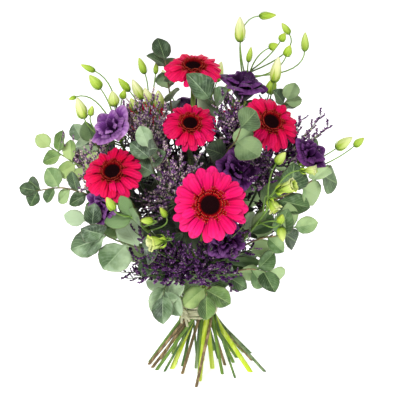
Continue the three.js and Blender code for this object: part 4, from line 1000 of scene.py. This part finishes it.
def gerbera_eye(name, place, width, red, seed):
    """A dome of dark beads in a spiral, and rings of short red threads that lean outwards."""
    bead, thread = eye_patterns()
    disc = width * DISC
    bm = turned([(0, -0.8), (disc * 1.1, -0.8), (disc * 1.5, 1.2), (disc * 0.95, 1.8), (0, 2.4)], 24)
    mark(bm, [v for v in bm.verts if v.co.xy.length > disc * 1.2], along=0.3, tint=red)
    bmesh.ops.transform(bm, matrix=place, verts=bm.verts)
    for i in range(EYE_BEADS):
        r = disc * math.sqrt((i + 0.5) / EYE_BEADS)
        a = i * GOLDEN
        spot = frame_at(polar(r, a, 2.6 - 1.1 * (r / disc) ** 2), polar(r * 0.05, a, 1))
        stamp(bm, bead, place @ spot @ sized(1, 1, 1 + 0.3 * draw(seed, i)), 0.0)
    for row, count in enumerate(EYE_THREADS):
        r = width * (FIRST_RING + RING_STEP * row)
        for i in range(count):
            a = TURN * (i + 0.5 * row) / count + 0.05 * draw(seed, i + 40 * row)
            out = polar(1, a, 1.5 - 0.45 * row + 0.3 * draw(seed, i + 77))
            long = THREAD_LENGTH * width * (1 + 0.2 * draw(seed, i + 300 + 40 * row))
            spot = frame_at(polar(r, a, 1.0 - 0.3 * row), out)
            stamp(bm, thread, place @ spot @ sized(THREAD_GIRTH, THREAD_GIRTH, long), red)
    finished(name + "_disc_florets", bm, "eye", name + "_eye")


def bract_pattern():
    """A pointed bract, one long, cupped towards the stem."""
    bm = new_shape()

    def at(u, v):
        wide = along_stops([(0, 0.8), (0.4, 1), (1, 0.08)], v)
        return Vector((u * wide, -0.3 * v * (1 - u * u) + 0.25 * u * u, v))

    sheet(bm, 2, 4, at)
    bmesh.ops.solidify(bm, geom=bm.faces[:], thickness=0.15)
    return as_mesh("bract", bm)


def gerbera_stem(name, gerbera, place):
    """The stem with its cup, covered by two rows of pointed bracts."""
    width = gerbera["width"]
    node = name + "_stem"
    bm = new_shape()
    cup = [max(least, share * width) for _, share, least in CALYX]
    stem_tube(bm, "gerbera", node, gerbera_top(gerbera["head"], gerbera["face"]), cup)
    bract = bract_pattern()
    for row, (depth, radius, length) in enumerate(BRACT_ROWS):
        for i in range(BRACTS):
            a = TURN * (i + 0.5 * row) / BRACTS
            turn = Matrix.Rotation(a, 4, "Z") @ Matrix.Translation((0, -radius * width, -depth))
            spot = turn @ Matrix.Rotation(0.35, 4, "X") @ sized(1.9, 1.4, length)
            stamp(bm, bract, place @ spot, 0.5)
    finished(name + "_stalk", bm, "gerbera_stem", node)


def build_gerbera(name, gerbera, seed):
    width, pink = gerbera["width"], gerbera["pink"]
    place = frame_at(gerbera["head"], gerbera["face"], gerbera["turn"] * 0.1)
    bm = new_shape()
    index = 0
    for layer in RAY_LAYERS:
        for i in range(layer["count"]):
            a = TURN * (i + layer["shift"]) / layer["count"] + 0.09 * draw(seed, index)
            reach = width / 2 * (layer["reach"] - 0.06 + 0.06 * draw(seed, index + 100))
            half = width * RAY_HALF * (1 + 0.2 * draw(seed, index + 200))
            height = layer["height"] + 1.5 * draw(seed, index + 300)
            tint = pink * 0.8 + 0.1 + 0.3 * draw(seed, index + 900)
            spot = place @ Matrix.Rotation(a, 4, "Z")
            ray(bm, spot, width * RAY_ROOT, reach, half, height, seed, index, tint)
            index += 1
    finished(name + "_ray_florets", bm, "petal", name + "_petals", RAY_WALL, 1)
    gerbera_eye(name, place, width, 0.4 + 0.6 * pink, seed)
    gerbera_stem(name, gerbera, place)


# ------------------------------------------------------------------ leaves

LEAF_OPENING = 1.0  # the angle, in radians, between a leaf and its stem
LEAF_TIP = 0.97  # leaves beyond this share of the stem stand nearly along it
LEAF_FACING = 70  # how far out from the middle of the bouquet the leaves look
LEAF_LEVEL = 150  # leaves above this height look up, those below it down
LEAF_BACK = 20  # leaves behind this look backwards
LEAF_ROLLS = [0, 22, -22, 45, -45]  # what a leaf of the solid may be turned by
LEAF_SIZES = [1, 0.82, 0.66]  # and what it may have shrunk to
LEAF_SUNK = 1.4  # depth of the last leaf's base in its stem
LEAF_WALL = 0.5
LEAF_OUTLINE = [
    (0, 0.05), (0.06, 0.07), (0.16, 0.6), (0.34, 0.92), (0.56, 1), (0.76, 0.84), (0.92, 0.42), (1, 0.04),
]
NEAR_ENOUGH = {"spine": 0.3, "stem": 2.5}  # how near its solid's corners a leaf has to be
# How the leaves lower on a stem run, in pairs, each turned a quarter round from the one below.
LOWEST_LEAF = 118
LOWER_LEAVES = {
    "lisianthus": dict(length=44, shrink=0.07, plump=0.5, pitch=40),
    "eucalyptus": dict(length=34, shrink=0, plump=0.95, pitch=60),
}


def leaf_place(spine, along, roll, lift):
    """The place of a leaf: its base on the spine, +X along it and +Z out of its upper side."""
    base, tangent = route(spine, along), heading(spine, along)
    side = tangent.cross(UP).normalized()
    over = side.cross(tangent).normalized()
    a = math.radians(roll)
    radial = over * math.cos(a) + side * math.sin(a)
    opening = LEAF_OPENING / 3 if along > LEAF_TIP else LEAF_OPENING + lift
    x = tangent * math.cos(opening) + radial * math.sin(opening)
    ahead = LEAF_FACING if base.y > LEAF_BACK else -LEAF_FACING
    face = Vector((0.35 * base.x, base.y + ahead, 0.5 * (base.z - LEAF_LEVEL))).normalized()
    z = (face - x * face.dot(x)).normalized()
    return place_on(base, x, z.cross(x), z)


def place_taken(tree, spine, along, roll, length, plump, lift, near):
    """The place and length that the solid's leaf has, found by its corners, or None if it has none."""
    best = None
    for size in LEAF_SIZES:
        for more in LEAF_ROLLS:
            place = leaf_place(spine, along, roll + more, lift)
            long, half = length * size, length * size * 0.4 * plump
            start = -LEAF_SUNK if along == 1 else 0
            mid = long * 0.76 + start
            corners = points_of([
                (long + start, 0, 0), (mid, half * 0.84, 0.6), (mid, -half * 0.84, 0.6), (mid, 0, 1.6),
            ])
            off = sorted(tree.find(place @ corner)[2] for corner in corners)[1]
            if best is None or off < best[0]:
                best = (off, place, long)
    return best[1:] if best[0] < near else None


def leaf(bm, place, length, plump, seed, index, tint):
    """A leaf on a short stalk, folded along its midrib, bent along it, its margin waving."""
    fold = 0.24 + 0.34 * draw(seed, index + 30)
    bend = 0.18 * draw(seed, index + 60) - 0.04
    wave = 0.05 + 0.035 * draw(seed, index + 90)
    lop = 0.05 * draw(seed, index + 180)
    slim = 0.93 + 0.1 * draw(seed, index + 210)
    phase = 3 * draw(seed, index + 120)
    roll = 0.3 * draw(seed, index + 150)

    def at(u, v):
        half = 0.42 * length * plump * slim * along_stops(LEAF_OUTLINE, v)
        edge = abs(u)
        x = length * (v + 0.02 * u * u * (1 - v) + lop * u * math.sin(math.pi * v))
        z = 0.8 + fold * edge * half + bend * length * v * v + roll * u * half
        z += wave * length * math.sin(7 * v + phase + 2 * u) * edge ** 3 * math.sin(math.pi * v)
        return place @ Vector((x, u * half * (1 - 0.1 * abs(fold) * edge), z))

    sheet(bm, 8, 12, at, tint)


def taken_leaf(bm, tree, spine, along, roll, length, plump, lift, near, seed, index, tint):
    """A leaf, where the solid has it."""
    taken = place_taken(tree, spine, along, roll, length, plump, lift, NEAR_ENOUGH[near])
    if taken:
        leaf(bm, *taken, plump, seed, index, tint)


def lower_leaves(bm, kind, tree, line, highest, seed):
    """The leaves on the part of a stem that rises through the bouquet, where its solid has them."""
    run = LOWER_LEAVES[kind]
    pairs = 0
    for low, high in zip(line, line[1:]):
        count = max(1, math.floor((high - low).length / run["pitch"] + 0.5))
        for k in range(count):
            along = (k + 0.5) / count
            z = low.lerp(high, along).z
            if z < LOWEST_LEAF or z > highest:
                continue
            for side in (0, 1):
                index = 2 * pairs + side + 700
                roll = 90 * pairs + 180 * side + 22 * draw(seed, index)
                length = run["length"] - run["shrink"] * (z - LOWEST_LEAF)
                tint = 0.5 + 0.5 * draw(seed, index + 200)
                taken_leaf(
                    bm, tree, [low, high], along, roll, length, run["plump"], 0, "stem", seed, index, tint,
                )
            pairs += 1


# ------------------------------------------------------------------ lisianthus

BLOOM_BASE = 0.62  # depth of the cup over its width
BLOOM_WALL = 0.4
# A whorl: its petals, their widest half angle, how much they ruffle, rise and turn, and their radius at
# the stops along them, in widths of the bloom.
RIM_STOPS = (0, 0.4, 0.8, 1)
WHORLS = [
    dict(count=5, spread=0.84, ruffle=1.3, top=0.0, turn=0, rim=(0.03, 0.3, 0.44, 0.57)),
    dict(count=5, spread=0.7, ruffle=1.4, top=0.06, turn=0.5, rim=(0.02, 0.2, 0.27, 0.38)),
    dict(count=3, spread=0.9, ruffle=1.0, top=0.02, turn=0.2, rim=(0.01, 0.1, 0.13, 0.2)),
]
FRILL_WHORLS = [
    dict(count=5, spread=0.8, ruffle=1.2, top=0.05, turn=0, rim=(0.08, 0.38, 0.44, 0.5)),
    dict(count=4, spread=0.9, ruffle=1.0, top=0.1, turn=0.4, rim=(0.05, 0.25, 0.3, 0.3)),
]
BUD_PROFILE = [
    (0, 0), (0.42, 0.02), (0.78, 0.12), (0.98, 0.28), (1, 0.44), (0.86, 0.62), (0.6, 0.78),
    (0.34, 0.9), (0.14, 0.98), (0, 1),
]
SEPALS = 5
SEPAL_TINT, FRILL_TINT = 0.3, 0.75
STALK_STEPS, STALK_SIDES = 9, 7
BARE_TOP = 30  # no small leaves this close to the end of the stem


def cup_petal(bm, place, width, depth, whorl, angle, seed, index, tint):
    """One broad petal that rises from the base, cups and rolls out in a ruffled rim."""
    phase = 3 * draw(seed, index)
    waves = 4.2 + 1.2 * draw(seed, index + 20)
    high = 0.09 * width * draw(seed, index + 40)
    one_side = 0.16 * draw(seed, index + 60)
    rim = list(zip(RIM_STOPS, whorl["rim"]))

    def at(u, v):
        a = angle + u * whorl["spread"] * (0.35 + 0.65 * math.sin(min(1, v * 1.25) * math.pi / 2))
        fold = whorl["ruffle"] * width * v ** 3 * (
            0.05 * math.sin(u * waves + phase) + 0.008 * math.sin(u * waves * 2.3 + phase * 5)
        )
        z = -depth + depth * (math.sin(min(1, v * 1.12) * math.pi / 2) + whorl["top"])
        z += high * v - width * 0.1 * max(0, v - 0.82) * 4 * (1 - 0.5 * u) + fold * 0.7
        z -= width * 0.07 * u ** 4 * v
        r = width * along_stops(rim, v) * (1 - 0.14 * u * u * v) + fold + one_side * width * 0.3 * u * v
        return place @ polar(r, a, z)

    sheet(bm, 10, 9, at, tint)


def cupped_bloom(bm, place, width, depth, seed, tint, whorls):
    index = 0
    for whorl in whorls:
        for i in range(whorl["count"]):
            angle = TURN * (i + whorl["turn"]) / whorl["count"] + 0.15 * draw(seed, index + 80)
            shade = tint * (1 + 0.5 * draw(seed, index + 100))
            cup_petal(bm, place, width, depth, whorl, angle, seed, index, shade)
            index += 1


def bud_pattern():
    """A closed bud, one long and one in radius: five petals lapped round it in a slow spiral."""
    bm = turned(BUD_PROFILE, 15)
    across = bm.verts.layers.float["across"]
    for vert in bm.verts:
        a = math.atan2(vert.co.y, vert.co.x)
        lap = (a / TURN * 5 + vert.co.z * 1.1) % 1
        vert[across] = math.cos(a)
        swell = 1 + 0.13 * (lap - 0.5) * min(1, vert.co.z * 3)
        vert.co.xy = vert.co.xy * swell
    return as_mesh("bud", bm)


def sepal_pattern():
    """A sepal, one long, that lies round the side of a bud on +X."""
    bm = new_shape()

    def at(u, v):
        wide = along_stops([(0, 1), (0.3, 0.8), (1, 0.06)], v)
        bulge = along_stops([(0, 0.35), (0.25, 0.92), (0.45, 1.1), (1, 1.15)], v)
        return Vector((bulge, u * wide * 0.2, v))

    sheet(bm, 2, 5, at)
    bmesh.ops.solidify(bm, geom=bm.faces[:], thickness=0.05)
    bmesh.ops.reverse_faces(bm, faces=bm.faces)
    return as_mesh("sepal", bm)


def stalk(bm, stem, share, end, direction, bow, radius):
    """A stalk that leaves the stem at one share of its line and comes up behind a flower or bud."""
    start = route(stem, share)
    pull = end - direction * (bow * (end - start).length)
    line = arc_line((start, pull, end), STALK_STEPS)
    tube(bm, line, tapered(radius * 1.25, radius * 0.9, STALK_STEPS), STALK_SIDES)


def sepals(bm, place, turn, size):
    for i in range(SEPALS):
        spot = place @ Matrix.Rotation(TURN * i / SEPALS + turn, 4, "Z")
        stamp(bm, PATTERNS["sepal"], spot @ size, SEPAL_TINT)


def lisianthus_leaves(name, node, spray, rise, stem, seed):
    bm, tree = new_shape(), corner_tree(node)
    lower_leaves(bm, "lisianthus", tree, rise + stem, stem[-1].z - BARE_TOP, seed)
    for i, (along, roll, length, plump) in enumerate(spray.get("leaves", [])):
        taken_leaf(bm, tree, stem, along, roll, length, plump, 0, "stem", seed, i, 0.9)
    finished(name + "_leaves", bm, "lisianthus_leaf", node, LEAF_WALL)


def lisianthus_bloom(name, bloom, stem, green, seed):
    head, face, width, share, pale = bloom
    face = Vector(face).normalized()
    depth = width * BLOOM_BASE
    place = frame_at(head, face)
    stalk(green, stem, share, Vector(head) - face * (depth + 1.2), face, 0.45, 1.3)
    sepals(green, place @ Matrix.Translation((0, 0, -depth - 2)), 0, sized(5, 9, 15))
    petals = new_shape()
    cupped_bloom(petals, place, width, depth, seed, pale, WHORLS)
    finished(name + "_ruffled_bloom", petals, "bloom", name + "_bloom", BLOOM_WALL, 1)


def build_lisianthus(name, spray, seed):
    node = name + "_stem"
    rise, stem = points_of(spray["rise"]), points_of(spray["stem"])
    green, frills = new_shape(), new_shape()
    stem_tube(green, "lisianthus", node, rise + stem)
    lisianthus_leaves(name, node, spray, rise, stem, seed)
    if "bloom" in spray:
        lisianthus_bloom(name, spray["bloom"], stem, green, seed)
    for i, (middle, turn, lean, length, width, share, ripe) in enumerate(spray["buds"]):
        a = math.radians(turn)
        direction = Vector((math.cos(a), lean, math.sin(a))).normalized()
        base = Vector(middle) - direction * (length / 2)
        stalk(green, stem, share, base + direction * 0.5, direction, 0.4, 0.8)
        place = frame_at(base, direction, i)
        opening = ripe == "frilled"
        sepals(green, place, 0.3, sized(width * (0.4 if opening else 0.5), width * 0.7, length * 0.55))
        if opening:
            rim = frame_at(base + direction * length * 0.95, direction, i)
            cupped_bloom(frills, rim, width * 1.05, length * 0.95, seed + i, FRILL_TINT, FRILL_WHORLS)
        else:
            stamp(green, PATTERNS["bud"], place @ sized(width / 2, width / 2, length), ripe)
    finished(name + "_stalks_and_buds", green, "lisianthus_green", node)
    if frills.verts:
        finished(name + "_opening_buds", frills, "lisianthus_green", node, BLOOM_WALL)
    else:
        frills.free()


# ------------------------------------------------------------------ eucalyptus

TWIG_TONE = {"grey": "grey", "green": "dark", "dark": "dark", "fresh": "fresh"}


def build_eucalyptus(name, sprig, seed):
    rise, spine = points_of(sprig["rise"]), points_of(sprig["spine"])
    tree = corner_tree(name)
    twig, leaves = new_shape(), new_shape()
    stem_tube(twig, "eucalyptus", name, rise + spine)
    lower_leaves(leaves, "eucalyptus", tree, rise + spine, spine[0].z, seed)
    for i, (along, roll, length) in enumerate(sprig["leaves"]):
        plump = 1 + 0.12 * draw(seed, i)
        lift = 0.15 * draw(seed, i + 50)
        tint = 0.5 + 0.5 * draw(seed, i + 200) + sprig["pale"]
        taken_leaf(leaves, tree, spine, along, roll, length, plump, lift, "spine", seed, i, tint)
    tone = sprig["tone"]
    finished(name + "_twig", twig, "eucalyptus_twig_" + TWIG_TONE[tone], name)
    finished(name + "_leaves", leaves, "eucalyptus_" + tone, name, LEAF_WALL)


# ------------------------------------------------------------------ statice

SWINGS = [4, 12, -8, 22, -18]  # how far the solid's branches may sag or rise
FILL_SWING = 6
TWIG_RADIUS = 0.9
BRANCH_STEPS, BRANCH_SIDES = 12, 6
BRANCH_RADII = (1.1, 0.5)
COMBS = {"tips": 11, "fill": 9}
COMB_TURN = 2.4  # radians from one comb of a branch to the next
COMB_LENGTHS = (16, 8)  # from the first to the last of a branch
COMB_FLORETS = 14
COMB_KINDS = 6
COMB_LENGTH = 12.0
FLORET_LENGTH = 3.2


def floret_pattern():
    """One floret: a slim ribbed funnel with a small flower in its mouth, 1 long."""
    bm = new_shape()
    for low, high, bottom, top in [(0.16, 0.42, 0.0, 0.75), (0.12, 0.3, 0.55, 1.0)]:
        made = bmesh.ops.create_cone(bm, cap_ends=True, segments=5, radius1=low, radius2=high, depth=1)
        for vert in made["verts"]:
            vert.co.z = top if vert.co.z > 0 else bottom
            mark(bm, [vert], along=vert.co.z)
    return as_mesh("floret", bm)


def comb_pattern(floret, kind):
    """A short side twig along +Z with a double row of florets on the side of +Y."""
    bm = new_shape()
    arc = points_of([(0, 0, 0), (0, 0, COMB_LENGTH * 0.6), (0, COMB_LENGTH * 0.3, COMB_LENGTH)])
    tube(bm, arc_line(arc, 3), [0.45, 0.4, 0.34, 0.28], 4)
    mark(bm, bm.verts)
    for i in range(COMB_FLORETS):
        at = bowed(*arc, (i + 1) / COMB_FLORETS)
        lean = (0.8 if i % 2 else -0.8) + 0.4 * draw(kind, i)
        long = FLORET_LENGTH * (1 + 0.24 * draw(kind, i + 50))
        place = frame_at(at, (lean, 1.0, 0.9 + 0.3 * draw(kind, i + 70)), i)
        stamp(bm, floret, place @ sized(long * 0.72, long * 0.72, long), 0.45 * draw(kind, i + 90))
    return as_mesh("comb", bm)


def comb_place(start, way, length, index):
    """The place of a comb that leaves its branch along a way; every other one is a mirror image."""
    side = way.cross(UP).normalized() if way.cross(UP).length > 0.05 else Vector((1, 0, 0))
    scale = length / COMB_LENGTH
    place = place_on(start, side, side.cross(way).normalized(), way)
    return place @ sized(scale if index % 2 else -scale, scale, scale)


def statice_arc(fork, tip, swing):
    start, end = Vector(fork), Vector(tip)
    middle = start.lerp(end, 0.5)
    outwards = Vector((middle.x, middle.y, 0)).normalized()
    middle = middle + outwards * (0.08 * (end - start).length) - UP * swing
    return start, middle, end


def swing_taken(tree, fork, tip):
    """The arc of a branch that the solid has, found by the corners round its middle."""
    def off(swing):
        arc = statice_arc(fork, tip, swing)
        return sum(abs(tree.find(bowed(*arc, s))[2] - TWIG_RADIUS) for s in (1 / 3, 2 / 3))
    return statice_arc(fork, tip, min(SWINGS, key=off))


def build_statice(name, spray, seed):
    tree = corner_tree(name)
    twigs, florets = new_shape(), new_shape()
    stem_tube(twigs, "statice", name, [Vector(spray["fork"])])
    index = 0
    for kind, combs in COMBS.items():
        for tip in spray[kind]:
            if kind == "tips":
                arc = swing_taken(tree, spray["fork"], tip)
            else:
                arc = statice_arc(spray["fork"], tip, FILL_SWING)
            tube(twigs, arc_line(arc, BRANCH_STEPS), tapered(*BRANCH_RADII, BRANCH_STEPS), BRANCH_SIDES)
            for k in range(combs):
                share = blend(0.3, 1.0, k / (combs - 1))
                ahead = (bowed(*arc, min(1, share + 0.02)) - bowed(*arc, share - 0.02)).normalized()
                turn = Matrix.Rotation(k * COMB_TURN + draw(seed, index), 3, ahead)
                aside = ahead.cross(UP if abs(ahead.z) < 0.9 else Vector((1, 0, 0))).normalized()
                way = (ahead * 0.9 + turn @ aside).normalized()
                long = blend(*COMB_LENGTHS, k / (combs - 1)) * (1 + 0.2 * draw(seed, index + 70))
                place = comb_place(bowed(*arc, share), way, long, index)
                pale = spray["pale"] + 0.2 * draw(seed, index + 140)
                stamp(florets, PATTERNS["combs"][index % COMB_KINDS], place, pale)
                index += 1
    finished(name + "_branches", twigs, "statice_stem", name)
    finished(name + "_florets", florets, "statice", name)


# ------------------------------------------------------------------ the tie

TIE_BAND = 11
TIE_STRANDS = 6
TIE_STEPS = 24
TIE_SUNK = 0.7  # depth of the strands in the solid band
STRAND_WIDTH, KNOT_WIDTH, TAIL_WIDTH = 3.0, 3.4, 2.8
STRAND_WALL = 0.5
KNOT_ANGLE = math.radians(238)
KNOT = [  # aside, outwards and up from its heart
    (-5, 0, 3), (-2, 2.5, 5), (3, 3, 2), (4, 2, -3), (0, 3, -5), (-4, 2, -3), (-5, 1, 1), (0, 3.5, 4),
]
TAILS = [(5, -17), (-4, -14), (8, -9)]  # how far aside and up each end reaches


def tie_radius(angle, corners):
    """How far out the solid band reaches in one direction."""
    way = polar(1, angle)
    near = [c for c in corners if c.normalized().dot(way) > 0.9]
    return max(c.dot(way) for c in near)


def raffia_strand(bm, points, width, seed):
    """A flat split strand that follows its points, slightly creased along its middle."""
    def at(u, v):
        centre, way = route(points, v), heading(points, v)
        out = Vector((centre.x - WAIST.x, centre.y - WAIST.y, 0)).normalized()
        edge = out.cross(way).normalized()
        crease = 0.25 * math.cos(u * 3 + seed)
        return centre + edge * (u * width / 2) + out * crease
    sheet(bm, 3, 6 * len(points), at)


def build_tie():
    """Strands wound round the waist, a knot, and its loose ends."""
    axis = Vector((WAIST.x, WAIST.y, 0))
    corners = [TO_LAYOUT @ v.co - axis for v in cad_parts["raffia_tie"].data.vertices]
    corners = points_of((c.x, c.y, 0) for c in corners)
    bm = new_shape()
    for strand in range(TIE_STRANDS):
        low = WAIST.z - TIE_BAND / 2 + TIE_BAND * (strand + 0.5) / TIE_STRANDS
        points = []
        for i in range(TIE_STEPS + 1):
            a = TURN * i / TIE_STEPS + KNOT_ANGLE
            r = tie_radius(a, corners) - TIE_SUNK + 0.35 * math.sin(3 * a + strand * 2)
            points.append(axis + polar(r, a, low + 1.6 * math.sin(a + strand * 1.9)))
        raffia_strand(bm, points, STRAND_WIDTH, strand)
    out = polar(1, KNOT_ANGLE)
    side = UP.cross(out)
    heart = axis + out * (tie_radius(KNOT_ANGLE, corners) + 1.5) + UP * WAIST.z
    raffia_strand(bm, [heart + side * a + out * b + UP * c for a, b, c in KNOT], KNOT_WIDTH, 1)
    for a, c in TAILS:
        tail = [
            heart + side * (a * t) + out * (1.5 + 2 * math.sin(3 * t)) + UP * (c * t * t)
            for t in (0, 0.35, 0.7, 1)
        ]
        raffia_strand(bm, tail, TAIL_WIDTH, 2)
    finished("raffia_strands", bm, "raffia", "raffia_tie", STRAND_WALL)


# ------------------------------------------------------------------ the bouquet

FLORET = floret_pattern()
PATTERNS = {
    "bud": bud_pattern(),
    "sepal": sepal_pattern(),
    "combs": [comb_pattern(FLORET, kind) for kind in range(COMB_KINDS)],
}
for name, gerbera in GERBERAS.items():
    build_gerbera("gerbera_" + name, gerbera, gerbera["turn"] + 7)
for family, plants, build, first_seed in [
    ("lisianthus_", LISIANTHUS, build_lisianthus, 51),
    ("eucalyptus_", EUCALYPTUS, build_eucalyptus, 3),
    ("statice_", STATICE, build_statice, 31),
]:
    for i, (name, plant) in enumerate(plants.items()):
        build(family + name, plant, first_seed + i)
build_tie()


# ------------------------------------------------------------------ floor, light and camera

STAGE_EDGE = [(-6, -4, 0), (6, -4, 0)]
STAGE_STEPS = [(0, 7, 0), (0, 0.9, 0.25), (0, 0.5, 0.9), (0, 0, 6)]
STAGE_GLOW = 0.75
TARGET = Vector((0.0088, -0.0129, 0.217))
DISTANCE = 1.2
ELEVATION = math.radians(15)
FIELD = 0.4852  # width of the view at the target
SENSOR = 36
LIGHTS = {  # place, size in metres and power in watts
    "key": ((-0.7, -1.7, 1.6), 0.7, 38),
    "fill": ((1.5, -1.2, 0.9), 1.4, 7),
    "rim": ((0.3, 1.5, 1.6), 1.2, 10),
}
SKY = {"Color": (1, 1, 1, 1), "Strength": 0.2}


def stage_finish():
    """Plain white that gives a little light of its own, so that it stays white in the corners."""
    r = Recipe("stage_white", Specular_IOR_Level=0.1, Emission_Strength=STAGE_GLOW)
    grain = r.noise(6, 2)
    shade = r.mix(grain * 0.04, (246, 246, 246), (232, 232, 232))
    return r.into(Base_Color=shade, Emission_Color=shade, Roughness=0.7 + grain * 0.05)


def build_stage():
    """A white floor that runs up into a white wall behind."""
    bm = bmesh.new()
    edges = [bm.edges.new([bm.verts.new(p) for p in STAGE_EDGE])]
    for step in STAGE_STEPS:
        grown = bmesh.ops.extrude_edge_only(bm, edges=edges)["geom"]
        verts = of_kind(VERT, grown)
        edges = [e for e in of_kind(EDGE, grown) if e.is_boundary and all(v in verts for v in e.verts)]
        bmesh.ops.translate(bm, vec=step, verts=verts)
    dressed("floor_and_wall", bm, stage_finish())


def area_light(name, where, size, power):
    lamp = bpy.data.lights.new(name, "AREA")
    lamp.shape = "DISK"
    lamp.size = size
    lamp.energy = power
    made = stood(name, lamp)
    made.location = where
    made.rotation_mode = "QUATERNION"
    made.rotation_quaternion = (TARGET - Vector(where)).to_track_quat("-Z", "Y")


def build_camera():
    lens = bpy.data.cameras.new("camera")
    lens.sensor_width = SENSOR
    lens.lens = SENSOR * DISTANCE / FIELD
    made = stood("camera", lens)
    made.location = TARGET + DISTANCE * Vector((0, -math.cos(ELEVATION), math.sin(ELEVATION)))
    made.rotation_euler = (math.pi / 2 - ELEVATION, 0, 0)
    bpy.context.scene.camera = made


build_stage()
for name, (where, size, power) in LIGHTS.items():
    area_light(name, where, size, power)
world = bpy.data.worlds.new("studio")
world.use_nodes = True
for socket, value in SKY.items():
    world.node_tree.nodes["Background"].inputs[socket].default_value = value
bpy.context.scene.world = world
bpy.context.scene.view_settings.view_transform = "Standard"
build_camera()
